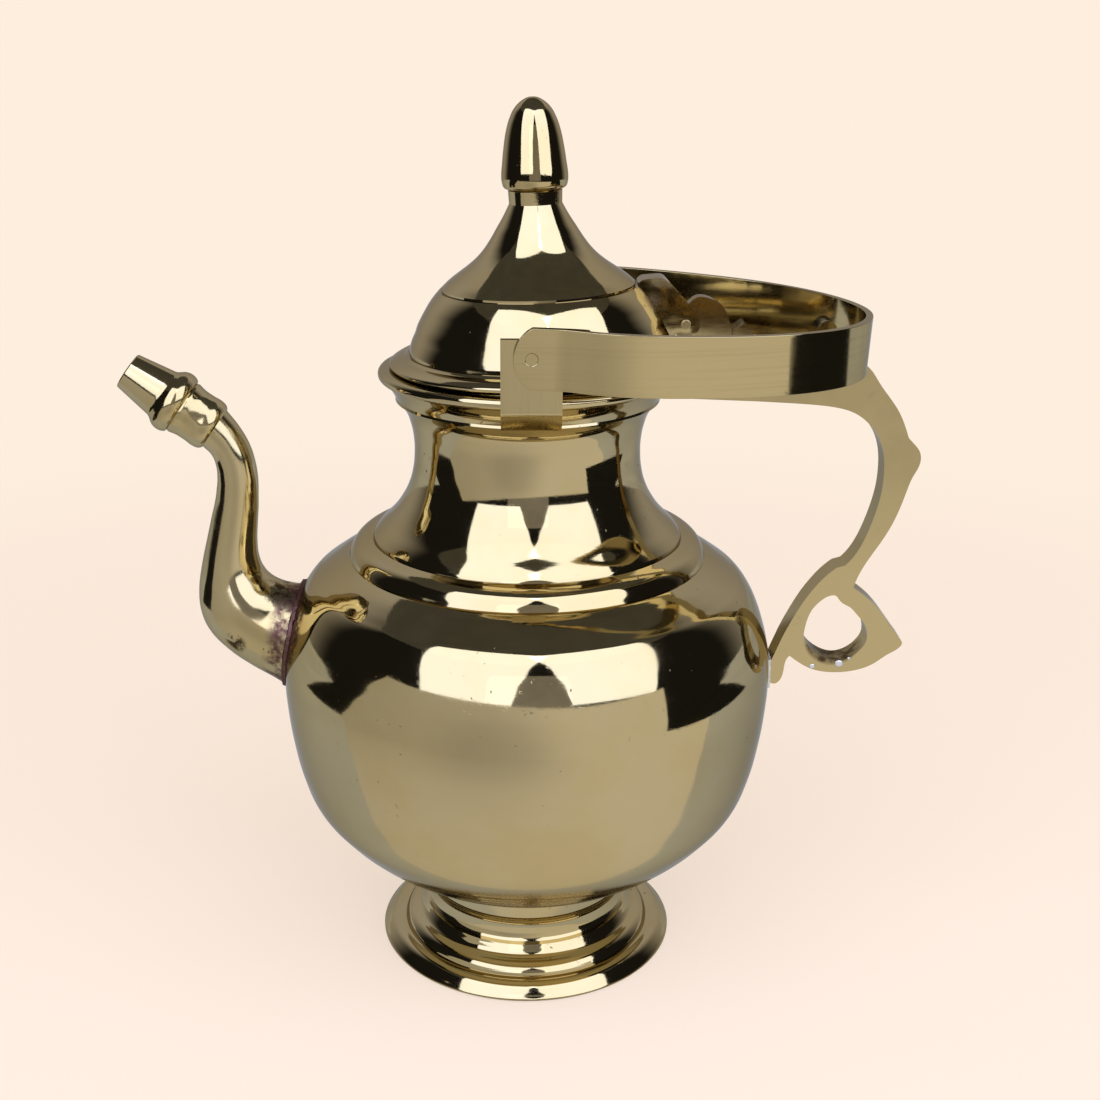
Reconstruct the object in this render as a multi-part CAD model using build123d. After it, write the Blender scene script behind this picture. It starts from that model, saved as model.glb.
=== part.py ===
from build123d import *
import math
import os

# Brass kamandal: a footed water pot with a cast spout, a scrolled handle, a hinged lid and a swinging bail.
# Millimetres. The origin is on the axis of the pot, in the plane that the foot stands on. +Z is up,
# the spout points along -X, the handle along +X, and -Y is the side that faces the viewer.

# Pot: heights above the table, and outside radii
sheet_wall = 1.5
overrun = 4.0
foot_radius = 45.3
foot_edge_round = 0.8
foot_land = 2.4
skirt_groove_radius = 38.3
skirt_groove_height = 4.6
stem_groove_radius = 31.2
stem_groove_height = 11.0
stem_radius = 30.9
stem_top_height = 19.5
groove_size = 0.5

belly_floor_height = 18.2
belly_radius = 72.5
belly_widest_height = 90.0
seam_radius = 52.3
seam_height = 125.8
seam_land = 2.1

shoulder_groove_radius = 45.2
shoulder_groove_height = 132.0
neck_radius = 32.5
neck_height = 156.5
flare_ring_radius = 37.2
flare_ring_height = 172.3
flare_ring_size = 0.55
lip_root_radius = 40.6
lip_root_height = 177.7
lip_radius = 42.4
lip_roundness = 1.65
rim_height = 181.0
mouth_radius = 37.0
mouth_round = 0.7
mouth_depth = 6.5

# Spout: the tip, the slope of its nozzle and the round sections down to the belly
spout_tip_reach = 113.6
spout_tip_height = 179.1
nozzle_slope = 35.5
nozzle_length = 29.1
nozzle_tip_radius = 5.5
nozzle_bead_radius = 9.35
nozzle_foot_radius = 6.5
spout_wall = 1.5
spout_swell = 14.3
spout_neck_radius = 6.2
solder_reach = 1.1
solder_height = 1.0

# Handle: a flat casting in the plane of the spout
handle_thickness = 8.0
grip_foot_height = 84.5
grip_height = 92.5
grip_reach = 41.5
bar_underside_height = 172.0
bar_top_height = 183.2
bail_rest_gap = 0.3
tongue_thickness = 4.4
flange_room = 0.8

# Lid: its own sizes are above the underside of its flange
lid_wall = 1.2
lid_shift = 3.7
lid_lean = 2.2
flange_radius = 42.8
flange_edge = 2.0
dome_foot_radius = 37.0
dome_foot_height = 3.6
spire_height = 43.5
spire_top_radius = 7.3
lid_groove_radius = 27.4
lid_groove_height = 20.9
collar_radius = 31.5
collar_wall = 1.2
collar_depth = 5.0
collar_lip_radius = 37.2
collar_lip = 1.0
finial_neck_height = 3.9
finial_height = 27.9
finial_radius = 9.15
stud_radius = 2.5
stud_length = 7.0
nut_radius = 4.6
nut_height = 2.6

# Lid hinge: a pin across the handle's tongue
hinge_reach = 44.0
hinge_height = 193.5
hinge_pin_radius = 1.4
hinge_pin_proud = 0.4
hinge_bore_clearance = 0.05
hinge_side_clearance = 0.2
cheek_thickness = 2.0
cheek_eye_radius = 3.9
tongue_eye_radius = 3.6
slot_radius = 12.0

# Bail and its two ears, made of the same strip
strip_width = 15.9
bail_thickness = 2.0
ear_thickness = 1.6
ear_setoff = 1.1
ear_top_rise = 4.6
ear_bend_drop = 14.3
ear_leg_drop = 20.9
ear_bend_round = 2.4
ear_leg_slope = 0.95
ear_gap = 0.15
bail_reach = 93.1
bail_sag = 2.1
bail_roll = 1.4
bail_end_reach = 4.7
bail_end_radius = 9.1
bail_pin_offset = 1.0
bail_pin_height = 193.8
rivet_radius = 1.2
rivet_head_radius = 1.65
rivet_head_depth = 0.6
rivet_clearance = 0.05

# Outlines as hand-chosen shares. Belly below its widest ring: radius over its own, height over its rise
belly_lower_shares = [
    (0.0, 0.0), (0.14, 0.009), (0.276, 0.036), (0.42, 0.088), (0.579, 0.166), (0.69, 0.24),
    (0.772, 0.308), (0.855, 0.398), (0.909, 0.475), (0.948, 0.585), (0.976, 0.72), (0.995, 0.88), (1.0, 1.0),
]
# Belly above it: how far the radius still is from the seam's, and the share of the rise to the seam
belly_upper_shares = [
    (0.984, 0.16), (0.94, 0.3), (0.877, 0.43), (0.79, 0.57), (0.69, 0.685), (0.545, 0.795),
    (0.42, 0.85), (0.28, 0.905), (0.14, 0.955),
]
# Neck under and over its waist, in the same manner
neck_lower_shares = [
    (0.84, 0.085), (0.54, 0.245), (0.315, 0.41), (0.155, 0.575), (0.05, 0.76), (0.0, 1.0),
]
neck_upper_shares = [(0.04, 0.3), (0.2, 0.55), (0.49, 0.79), (1.0, 1.0)]
flare_end_share = (0.42, 0.5)
# Foot between its two grooves, and the middle of its skirt and of its stem
foot_cove_shares = [(0.56, 0.3), (0.2, 0.64)]
skirt_middle_share = (0.5, 0.56)
stem_middle_share = 0.4
# Dome and spire of the lid: radius over the dome's foot, height over the spire's
dome_shares = [
    (0.993, 0.12), (0.975, 0.163), (0.948, 0.21), (0.927, 0.256), (0.898, 0.302), (0.865, 0.348),
    (0.83, 0.394), (0.787, 0.44), (0.74, 0.481), (0.673, 0.532), (0.6, 0.577), (0.522, 0.624),
    (0.457, 0.67), (0.406, 0.716), (0.366, 0.761), (0.33, 0.807), (0.297, 0.853), (0.262, 0.9),
    (0.228, 0.95),
]
# Acorn of the finial: radius over its own, height over its own
acorn_shares = [
    (0.78, 0.133), (0.93, 0.155), (0.985, 0.2), (1.0, 0.262), (0.955, 0.4), (0.895, 0.545),
    (0.81, 0.69), (0.685, 0.815), (0.53, 0.905), (0.3, 0.972),
]
# Neck of the finial: where it is widest, and how far it spreads there; and the flat tip of the acorn
finial_neck_share = 0.9
finial_neck_spread = 1.02
acorn_tip_share = 0.2
# Nozzle: distance from the tip over its length, radius over the bead's
nozzle_shares = [
    (0.345, 0.762), (0.4, 0.8), (0.43, 0.865), (0.468, 0.95), (0.525, 1.0), (0.59, 0.965), (0.63, 0.89),
    (0.655, 0.862), (0.72, 0.82), (0.82, 0.813), (0.915, 0.826), (0.975, 0.775),
]
# Sections of the spout under the nozzle: distance outside the belly and height above its widest ring, both
# over those of the nozzle's foot, radius over the swell, and tilt over a right angle
spout_shares = [
    (0.833, 0.949, 0.402, 0.480), (0.729, 0.892, 0.406, 0.350), (0.687, 0.837, 0.417, 0.245),
    (0.682, 0.775, 0.435, 0.155), (0.725, 0.688, 0.467, 0.115), (0.805, 0.583, 0.527, 0.145),
    (0.881, 0.479, 0.602, 0.200), (0.909, 0.392, 0.692, 0.257), (0.871, 0.322, 0.785, 0.330),
    (0.765, 0.265, 0.857, 0.428), (0.543, 0.210, 0.905, 0.575), (0.250, 0.165, 0.958, 0.720),
    (-0.078, 0.130, 1.045, 0.840), (-0.394, 0.098, 1.230, 0.940),
]
# Handle: reach beyond the belly over the grip's, height above its foot over the grip's
grip_inner_shares = [
    (-0.017, 0.938), (0.193, 0.932), (0.349, 0.924), (0.489, 0.906), (0.59, 0.874), (0.667, 0.829),
    (0.711, 0.775), (0.725, 0.708), (0.716, 0.643), (0.689, 0.584), (0.643, 0.516), (0.581, 0.453),
    (0.506, 0.409),
]
leaf_inner_shares = [
    (0.446, 0.401), (0.366, 0.369), (0.301, 0.334), (0.234, 0.29), (0.164, 0.232), (0.099, 0.17),
    (0.055, 0.119), (0.017, 0.076),
]
foot_tip_shares = [
    (0.022, 0.003), (0.067, 0.0), (0.092, 0.011), (0.116, 0.049), (0.128, 0.081), (0.152, 0.097),
]
loop_outer_shares = [
    (0.152, 0.097), (0.205, 0.079), (0.318, 0.051), (0.439, 0.04), (0.557, 0.041), (0.675, 0.052),
    (0.769, 0.072), (0.86, 0.103), (0.937, 0.126), (0.957, 0.142), (0.937, 0.159), (0.884, 0.191),
    (0.812, 0.235), (0.745, 0.272), (0.682, 0.299), (0.624, 0.319), (0.576, 0.334),
]
back_shares = [
    (0.576, 0.334), (0.6, 0.369), (0.657, 0.422), (0.731, 0.477), (0.804, 0.538), (0.861, 0.605),
    (0.9, 0.666), (0.926, 0.701), (0.958, 0.73), (0.972, 0.76), (0.955, 0.788), (0.908, 0.812),
    (0.874, 0.829),
]
shoulder_shares = [
    (0.874, 0.829), (0.843, 0.866), (0.793, 0.911), (0.717, 0.958), (0.645, 1.0), (0.586, 1.038),
    (0.542, 1.069),
]
hump_shares = [
    (0.417, 1.069), (0.362, 1.098), (0.34, 1.141), (0.316, 1.179), (0.267, 1.191), (0.217, 1.179),
    (0.166, 1.143), (0.113, 1.104), (0.031, 1.08), (-0.06, 1.078), (-0.142, 1.099), (-0.205, 1.134),
    (-0.248, 1.162), (-0.296, 1.183),
]
loop_hole_shares = [
    (0.245, 0.176), (0.262, 0.222), (0.295, 0.259), (0.353, 0.289), (0.41, 0.305), (0.452, 0.306),
    (0.49, 0.287), (0.566, 0.265), (0.616, 0.241), (0.667, 0.215), (0.696, 0.181), (0.698, 0.151),
    (0.653, 0.116), (0.571, 0.088), (0.486, 0.08), (0.39, 0.093), (0.308, 0.12), (0.26, 0.15),
]
# Bar of the handle: where it lies level, on the way from the neck to the belly's reach
bar_middle_share = 0.55
# Horn of the handle about the hinge: from the pin, over the slot's radius
horn_shares = [
    (1.083, -0.158), (1.025, 0.075), (0.933, 0.292), (0.733, 0.483), (0.5, 0.592), (0.283, 0.608),
    (0.133, 0.517),
]
# Tongue in front of the pin and under it: back, up and down, over the eye's radius
tongue_shares = (0.8, 0.6, 1.35)
# Room beside the tongue: past the pin over the slot's radius, under it over the cheek's
pocket_shares = (1.1, 1.45)
leaf_tip_shares = [(1.35, 0.033), (1.217, -0.075), (1.083, -0.158)]
# Lug of the lid about the hinge, in the same manner: its knee, crest and heel, and their roundness
lug_shares = [(-0.625, 0.858), (-0.95, 0.85), (-0.367, -0.25)]
lug_round_shares = (0.66, 0.6, 0.41)
# Bail seen from above, outer face: distance from the pins over its reach, across over half its width
bail_shares = [
    (0.06, -1.0), (0.15, -1.042), (0.26, -1.078), (0.42, -1.054), (0.58, -0.988), (0.741, -0.869),
    (0.87, -0.7), (0.96, -0.48), (1.0, -0.17), (0.97, 0.12), (0.89, 0.385), (0.77, 0.608),
    (0.62, 0.775), (0.45, 0.9), (0.29, 0.975), (0.15, 1.006), (0.06, 1.0),
]

# Sizes that follow from the ones above
hinge_span = tongue_thickness / 2 + hinge_side_clearance + cheek_thickness
ear_inner_offset = lip_radius + ear_setoff
ear_outer_offset = ear_inner_offset + ear_thickness
bail_half_width = ear_outer_offset + ear_gap + bail_thickness
grip_anchor = belly_radius
bail_rest_height = bail_pin_height - strip_width / 2 - bail_reach * math.sin(math.radians(bail_sag))


def between(start, end, share):
    """A size on the way from one size to another."""
    return start + (end - start) * share


def inset(points, distance):
    """Points of an outline moved square to it, towards its inner side."""
    moved = []
    for i, (a, b) in enumerate(points):
        before, after = points[max(i - 1, 0)], points[min(i + 1, len(points) - 1)]
        da, db = after[0] - before[0], after[1] - before[1]
        run = math.hypot(da, db)
        moved.append((a - distance * db / run, b + distance * da / run))
    return moved


def upright(points):
    """Points of radius and height as points in the XZ plane."""
    return [Vector(a, 0, b) for a, b in points]


def curve(points):
    return Spline(upright(points))


def line(*points):
    return Polyline(upright(points))


def closed_face(lines):
    """The flat face inside a run of lines and curves that meet end to end."""
    return Face(Wire([edge for each in lines for edge in each.edges()]))


def turned(lines):
    """A solid of revolution from a closed outline beside the pot's axis."""
    return revolve(closed_face(lines), axis=Axis.Z)


def turned_ring(radius, height, size):
    """A ring of square section that stands on its corner, for a turned groove or a ridge."""
    return turned([line(
        (radius - size, height), (radius, height + size), (radius + size, height), (radius, height - size),
        (radius - size, height),
    )])


def rounded_bar(ends, half_width):
    """A block across Y whose front view is the belt round some circles of (centre, radius)."""
    circles = []
    for centre, radius in ends:
        circles += (Pos(*centre) * Circle(radius)).edges()
    return extrude(Plane.XZ * make_hull(circles).face(), half_width, both=True)


def cross_pin(radius, half_length, reach, height):
    """A round bar along Y."""
    return Pos(reach, 0, height) * Rot(90, 0, 0) * Cylinder(radius, 2 * half_length)


def belly_outline():
    """The belly's outside from the middle of its floor to the seam under the neck."""
    rise = belly_widest_height - belly_floor_height
    lower = [(belly_radius * a, belly_floor_height + rise * b) for a, b in belly_lower_shares]
    upper = [
        (between(seam_radius, belly_radius, a), between(belly_widest_height, seam_height, b))
        for a, b in belly_upper_shares
    ]
    return lower + upper + [(seam_radius, seam_height)]


def neck_outline():
    """The neck's outside from the shoulder groove to the root of the lip."""
    lower = [
        (between(neck_radius, shoulder_groove_radius, a), between(shoulder_groove_height, neck_height, b))
        for a, b in neck_lower_shares
    ]
    upper = [
        (between(neck_radius, flare_ring_radius, a), between(neck_height, flare_ring_height, b))
        for a, b in neck_upper_shares
    ]
    out, up = flare_end_share
    groove, root = (shoulder_groove_radius, shoulder_groove_height), (lip_root_radius, lip_root_height)
    flare_end = (between(flare_ring_radius, root[0], out), between(flare_ring_height, root[1], up))
    return [groove] + lower + upper + [flare_end, root]


def belly_body(swell=0):
    """The belly as if it were solid, for cutting what is soldered to it, or a little swollen."""
    outline = inset(belly_outline(), -swell)
    outline[0] = (0, belly_floor_height - swell)
    return turned([curve(outline), line(outline[-1], (0, outline[-1][1]), outline[0])])


def lip_edges():
    """The rolled lip, from its root over the top to the mouth."""
    roll, middle = lip_radius - lip_roundness, rim_height - lip_roundness
    start = (roll, middle - lip_roundness)
    return [
        line((lip_root_radius, lip_root_height), start),
        ThreePointArc(*upright([start, (lip_radius, middle), (roll, rim_height)])),
    ]


def neck_body():
    """The neck as if it were solid."""
    outline = neck_outline()
    shell = turned([
        line((0, seam_height), (seam_radius, seam_height), outline[0]),
        curve(outline),
        *lip_edges(),
        line((lip_radius - lip_roundness, rim_height), (0, rim_height), (0, seam_height)),
    ])
    return shell + turned_ring(flare_ring_radius, flare_ring_height, flare_ring_size)


def make_foot():
    groove, stem = (skirt_groove_radius, skirt_groove_height), (stem_groove_radius, stem_groove_height)
    cove = [(between(stem[0], groove[0], a), between(groove[1], stem[1], b)) for a, b in foot_cove_shares]
    edge_top = (foot_radius - foot_edge_round / 2, foot_edge_round * 2)
    out, up = skirt_middle_share
    skirt_middle = (between(groove[0], edge_top[0], out), between(edge_top[1], groove[1], up))
    outline = [edge_top, skirt_middle, groove] + cove + [stem]
    land_out, land_in = foot_radius - foot_edge_round, foot_radius - foot_edge_round - foot_land
    stem_middle = between(stem_groove_height, stem_top_height, stem_middle_share)
    stem_inside = stem_radius - sheet_wall
    inner = inset(outline[1:], sheet_wall)
    foot = turned([
        line((land_in, 0), (land_out, 0)),
        ThreePointArc(*upright([(land_out, 0), (foot_radius, foot_edge_round), edge_top])),
        curve(outline),
        curve([outline[-1], (stem_radius, stem_middle), (stem_radius, stem_top_height)]),
        line((stem_radius, stem_top_height), (stem_inside, stem_top_height)),
        curve([(stem_inside, stem_top_height), (stem_inside, stem_middle)] + inner[::-1]),
        line(inner[0], (land_in, 0)),
    ])
    foot -= turned_ring(skirt_groove_radius, skirt_groove_height, groove_size)
    return foot - turned_ring(stem_groove_radius, stem_groove_height, groove_size)


def make_belly(spout_bore):
    outline = belly_outline()
    floor_inside = (0, belly_floor_height + sheet_wall)
    inner = [floor_inside] + inset(outline, sheet_wall)[1:-1] + [(seam_radius - seam_land, seam_height)]
    shell = turned([
        curve(outline), line(outline[-1], inner[-1]), curve(inner[::-1]), line(inner[0], outline[0]),
    ])
    # The short stem that the foot is soldered to ends inside the belly's wall
    stem_end = belly_floor_height + (belly_widest_height - belly_floor_height) * belly_lower_shares[3][1]
    shell += turned([line(
        (stem_radius - sheet_wall, stem_top_height), (stem_radius, stem_top_height),
        (stem_radius, stem_end + sheet_wall / 4), (stem_radius - sheet_wall, stem_end),
        (stem_radius - sheet_wall, stem_top_height),
    )])
    shell -= turned_ring(seam_radius, seam_height, groove_size)
    return shell - spout_bore


def make_neck():
    outline = neck_outline()
    inner = [(seam_radius - seam_land, seam_height)] + inset(outline[:-2], sheet_wall)
    mouth_foot = rim_height - mouth_depth
    inner += [(mouth_radius, mouth_foot + mouth_round)]
    neck = turned([
        line((seam_radius, seam_height), outline[0]),
        curve(outline),
        *lip_edges(),
        line((lip_radius - lip_roundness, rim_height), (mouth_radius + mouth_round, rim_height)),
        line((mouth_radius + mouth_round, rim_height), (mouth_radius, rim_height - mouth_round), inner[-1]),
        curve(inner[::-1]),
        line(inner[0], (seam_radius, seam_height)),
    ])
    neck += turned_ring(flare_ring_radius, flare_ring_height, flare_ring_size)
    neck -= turned_ring(shoulder_groove_radius, shoulder_groove_height, groove_size)
    return neck - turned_ring(seam_radius, seam_height, groove_size)


def nozzle_plane(distance):
    """The plane square to the nozzle's axis, that far behind the tip."""
    slope = math.radians(nozzle_slope)
    back = Vector(math.cos(slope), 0, -math.sin(slope))
    tip = Vector(-spout_tip_reach, 0, spout_tip_height)
    return Plane(origin=tip + back * distance, x_dir=(0, 1, 0), z_dir=back)


def spout_solid(thinner):
    """The spout's outside, or its bore when it is made thinner by the wall. It runs on into the belly."""
    foot = nozzle_plane(nozzle_length)
    reach = -foot.origin.X - belly_radius
    sections = [foot * Circle(spout_neck_radius - thinner)]
    for out, up, swell, tilt in spout_shares:
        turn = math.radians(90 * tilt)
        centre = (-belly_radius - reach * out, 0, between(belly_widest_height, foot.origin.Z, up))
        plane = Plane(origin=centre, x_dir=(0, 1, 0), z_dir=(math.sin(turn), 0, -math.cos(turn)))
        sections.append(plane * Circle(spout_swell * swell - thinner))
    return loft(sections) + extrude(sections[-1], belly_radius - seam_radius)


def make_nozzle():
    """Turned nozzle with its bead, drilled through."""
    points = [(nozzle_tip_radius, 0)]
    points += [(nozzle_bead_radius * radius, nozzle_length * along) for along, radius in nozzle_shares]
    outline = [
        line((0, 0), points[0], points[1]), curve(points[1:] + [(nozzle_foot_radius, nozzle_length)]),
        line((nozzle_foot_radius, nozzle_length), (0, nozzle_length), (0, 0)),
    ]
    turned_bar = turned(outline)
    bore_radius = spout_neck_radius - spout_wall
    bore = Pos(0, 0, nozzle_length / 2) * Cylinder(bore_radius, nozzle_length + overrun)
    seam_along, seam_out = nozzle_shares[6]
    seat = turned_ring(nozzle_bead_radius * seam_out, nozzle_length * seam_along, groove_size)
    return nozzle_plane(0) * (turned_bar - bore - seat)


def plate(edges, thickness):
    """A flat casting in the XZ plane, even about it."""
    return extrude(Pos(0, thickness / 2, 0) * closed_face(edges), thickness, dir=(0, -1, 0))


def grip_points(shares):
    return [(grip_anchor + grip_reach * a, grip_foot_height + grip_height * b) for a, b in shares]


def hinge_points(shares):
    return [(hinge_reach + slot_radius * a, hinge_height + slot_radius * b) for a, b in shares]


def make_handle(pot_bodies):
    bar_root = neck_radius + sheet_wall
    inner, leaf_inner = grip_points(grip_inner_shares), grip_points(leaf_inner_shares)
    tip, loop = grip_points(foot_tip_shares), grip_points(loop_outer_shares)
    back, shoulder, hump = grip_points(back_shares), grip_points(shoulder_shares), grip_points(hump_shares)
    shoulder[-1] = (shoulder[-1][0], bail_rest_height - bail_rest_gap)
    hump[0] = (hump[0][0], bail_rest_height - bail_rest_gap)
    leaf_tip, horn = hinge_points(leaf_tip_shares), hinge_points(horn_shares)
    leaf_tip[0] = hump[-1]
    foot_back = belly_radius - overrun
    tongue_front = lid_shift + flange_radius + flange_room
    tongue_back, tongue_top, tongue_drop = [tongue_eye_radius * share for share in tongue_shares]
    lip_middle = rim_height - lip_roundness
    bar_start = (bar_root, bar_underside_height + sheet_wall / 2)
    bar_middle = (between(bar_root, belly_radius, bar_middle_share), bar_underside_height)
    edges = [
        curve([bar_start, bar_middle, *inner]),
        line(inner[-1], leaf_inner[0]),
        curve(leaf_inner),
        line(leaf_inner[-1], (foot_back, leaf_inner[-1][1]), (foot_back, tip[0][1]), tip[0]),
        curve(tip), curve(loop), curve(back), curve(shoulder),
        line(shoulder[-1], hump[0]),
        curve(hump), line(*leaf_tip), curve(horn),
        line(
            horn[-1], (hinge_reach - tongue_back, hinge_height + tongue_top), (hinge_reach, hinge_height),
            (tongue_front, hinge_height - tongue_drop), (tongue_front, bar_top_height),
            (lip_radius, bar_top_height), (lip_radius, lip_middle), (bar_root, lip_middle), bar_start,
        ),
    ]
    handle = plate(edges, handle_thickness)
    loop_hole = Spline(upright(grip_points(loop_hole_shares)), periodic=True)
    handle -= plate([loop_hole], handle_thickness + overrun)
    handle += cross_pin(tongue_eye_radius, tongue_thickness / 2, hinge_reach, hinge_height)
    # The tongue is thinned on both sides where the lid's cheeks swing past it
    cheek_room = cheek_thickness + overrun
    pocket_out, pocket_down = pocket_shares
    pocket_top, pocket_floor = hinge_height + slot_radius, hinge_height - cheek_eye_radius * pocket_down
    pocket_end, pocket_start = hinge_reach + slot_radius * pocket_out, hinge_reach - slot_radius
    for side in (-1, 1):
        middle = side * (tongue_thickness / 2 + cheek_room / 2)
        handle -= Pos((pocket_start + pocket_end) / 2, middle, (pocket_top + pocket_floor) / 2) * Box(
            pocket_end - pocket_start, cheek_room, pocket_top - pocket_floor)
    handle -= cross_pin(hinge_pin_radius + hinge_bore_clearance, handle_thickness, hinge_reach, hinge_height)
    for body in pot_bodies:
        handle -= body
    return handle


def place_lid(shape):
    """Set the lid on the rim: it touches on the spout's side and its hinge side stands a little high."""
    lift = flange_radius * math.sin(math.radians(lid_lean))
    return Pos(lid_shift, 0, rim_height + lift) * Rot(0, -lid_lean, 0) * shape


def dome_outline():
    points = [(dome_foot_radius * a, spire_height * b) for a, b in dome_shares]
    return [(dome_foot_radius, dome_foot_height)] + points + [(spire_top_radius, spire_height)]


def make_lid_shell():
    dome = dome_outline()
    inner = inset(dome, lid_wall)
    inner[-1] = (spire_top_radius - lid_wall, spire_height - lid_wall)
    ledge, ledge_height = dome_foot_radius + lid_wall, dome_foot_height
    flange_top = (flange_radius - flange_edge / 2, flange_edge)
    edges = [
        ThreePointArc(*upright([(flange_top[0], 0), (flange_radius, flange_edge / 2), flange_top])),
        line(flange_top, (ledge, ledge_height - groove_size), (ledge - groove_size, ledge_height), dome[0]),
        curve(dome),
        line(dome[-1], (stud_radius, spire_height), (stud_radius, spire_height - lid_wall), inner[-1]),
        curve(inner[::-1]),
        line(inner[0], (dome_foot_radius - lid_wall, 0), (flange_top[0], 0)),
    ]
    return turned(edges) - turned_ring(lid_groove_radius, lid_groove_height, groove_size)


def dome_body():
    """The lid as if it were solid, for cutting the hinge lug to it."""
    dome = dome_outline()
    foot, top = line((0, 0), (dome_foot_radius, 0), dome[0]), line(dome[-1], (0, spire_height), (0, 0))
    return turned([foot, curve(dome), top])


def make_lid_collar():
    inner = collar_radius - collar_wall
    return turned([line(
        (inner, 0), (collar_lip_radius, 0), (collar_lip_radius, -collar_lip), (collar_radius, -collar_lip),
        (collar_radius, -collar_depth), (inner, -collar_depth), (inner, 0),
    )])


def make_finial():
    """Neck, acorn and stud, turned from one bar."""
    acorn = [(finial_radius * a, spire_height + finial_height * b) for a, b in acorn_shares]
    top = spire_height + finial_height
    neck_top = spire_height + finial_neck_height * finial_neck_share
    neck_spread = spire_top_radius * finial_neck_spread
    edges = [
        line((0, spire_height), (spire_top_radius, spire_height), (neck_spread, neck_top), acorn[0]),
        curve(acorn), line(acorn[-1], (finial_radius * acorn_tip_share, top), (0, top), (0, spire_height)),
    ]
    stud = Pos(0, 0, spire_height - stud_length / 2) * Cylinder(stud_radius, stud_length)
    return turned(edges) + stud


def make_finial_nut():
    """Round nut on the stud, inside the spire."""
    height = spire_height - lid_wall - nut_height / 2
    nut = Pos(0, 0, height) * Cylinder(nut_radius, nut_height)
    return nut - Pos(0, 0, height) * Cylinder(stud_radius, nut_height + overrun)


def make_lid_lug():
    """Forked lug from the dome to the hinge pin, with its two cheeks either side of the tongue."""
    pin = (hinge_reach, hinge_height)
    knee, crest, heel = hinge_points(lug_shares)
    knee_round, crest_round, heel_round = [cheek_eye_radius * share for share in lug_round_shares]
    lug = rounded_bar([(knee, knee_round), (pin, cheek_eye_radius)], hinge_span)
    lug += rounded_bar([(knee, knee_round), (crest, crest_round), (heel, heel_round)], hinge_span)
    slot_half = tongue_thickness / 2 + hinge_side_clearance
    lug -= cross_pin(slot_radius, slot_half, hinge_reach, hinge_height)
    lug -= cross_pin(hinge_pin_radius, hinge_span + overrun, hinge_reach, hinge_height)
    return lug - place_lid(dome_body())


def in_bail_frame(shape):
    """From the bail's own frame, centred between its pins, to the pot's."""
    return Pos(bail_pin_offset, 0, bail_pin_height) * Rot(bail_roll, 0, 0) * shape


def make_ear(side, neck):
    """Strip from the rivet down past the lip, bent in to the flare under it."""
    outer, inner = ear_outer_offset, ear_inner_offset
    bend_low, leg_end = -ear_bend_drop - ear_thickness / 2, -ear_leg_drop
    leg_in = inner - (ear_leg_drop - ear_bend_drop) * ear_leg_slope
    points = [
        (outer, ear_top_rise), (outer, bend_low), (leg_in + ear_thickness, leg_end),
        (leg_in - ear_thickness / 2, leg_end + ear_thickness), (inner, -ear_bend_drop), (inner, ear_top_rise),
    ]
    outline = make_face(Polyline([Vector(0, side * y, z) for y, z in points], close=True))
    strip = extrude(outline, strip_width / 2, both=True)
    bends = [e for e in strip.edges().filter_by(Axis.X) if abs(e.center().Z - bend_low) < ear_thickness]
    strip = fillet(bends, ear_bend_round)
    strip -= cross_pin(rivet_radius, outer + overrun, 0, 0)
    return in_bail_frame(strip) - neck


def make_bail():
    outer = [(bail_reach * a, bail_half_width * b) for a, b in bail_shares]
    inner = inset(outer, bail_thickness)
    back = bail_end_reach + overrun
    ends = [(-back, outer[-1][1]), (-back, inner[-1][1])]
    starts = [(-back, inner[0][1]), (-back, outer[0][1])]
    out_and_back = [(1, 0), (-1, 0)]
    outline = [
        Polyline(starts[1], outer[0]), Spline(*outer, tangents=out_and_back),
        Polyline(outer[-1], ends[0], ends[1], inner[-1]),
        Spline(*inner[::-1], tangents=out_and_back), Polyline(inner[0], starts[0], starts[1]),
    ]
    strip = extrude(Pos(0, 0, -strip_width / 2) * closed_face(outline), strip_width)
    # Both ends are rounded off past the rivets
    wide = bail_half_width + overrun
    end_centre = bail_end_radius - bail_end_reach
    corner_room = Pos(end_centre - back, 0, 0) * Box(2 * back, 2 * wide, 2 * bail_end_radius)
    strip -= corner_room - cross_pin(bail_end_radius, wide, end_centre, 0)
    strip -= cross_pin(rivet_radius + rivet_clearance, wide, 0, 0)
    for side in (-1, 1):
        strip -= rivet_head(side, rivet_clearance)
    return in_bail_frame(Rot(0, bail_sag, 0) * strip)


def rivet_head(side, clearance):
    """The head's cone, which narrows towards the pot and is flush with the bail."""
    face = side * bail_half_width
    cone = Cone(rivet_radius + clearance, rivet_head_radius + clearance, rivet_head_depth)
    return Pos(0, face - side * rivet_head_depth / 2, 0) * Rot(-90 * side, 0, 0) * cone


def make_rivet(side):
    length = bail_half_width - ear_inner_offset
    middle = side * (bail_half_width + ear_inner_offset) / 2
    shank = Pos(0, middle, 0) * Rot(90, 0, 0) * Cylinder(rivet_radius, length)
    return in_bail_frame(shank + rivet_head(side, 0))


def make_spout_solder(spout, belly, neck):
    """A collar of solder round the spout where it meets the belly."""
    return (spout_solid(-solder_reach) & belly_body(solder_height)) - spout - belly - neck


def make_handle_solder(handle, belly):
    """Solder between the handle's foot and the belly."""
    foot_low, foot_high = grip_foot_height, grip_points(leaf_inner_shares)[-1][1]
    block = Pos(belly_radius, 0, (foot_low + foot_high) / 2) * Box(
        2 * overrun, handle_thickness + 2 * solder_reach, foot_high - foot_low + 2 * solder_reach)
    return (block & belly_body(solder_height)) - handle - belly


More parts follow.
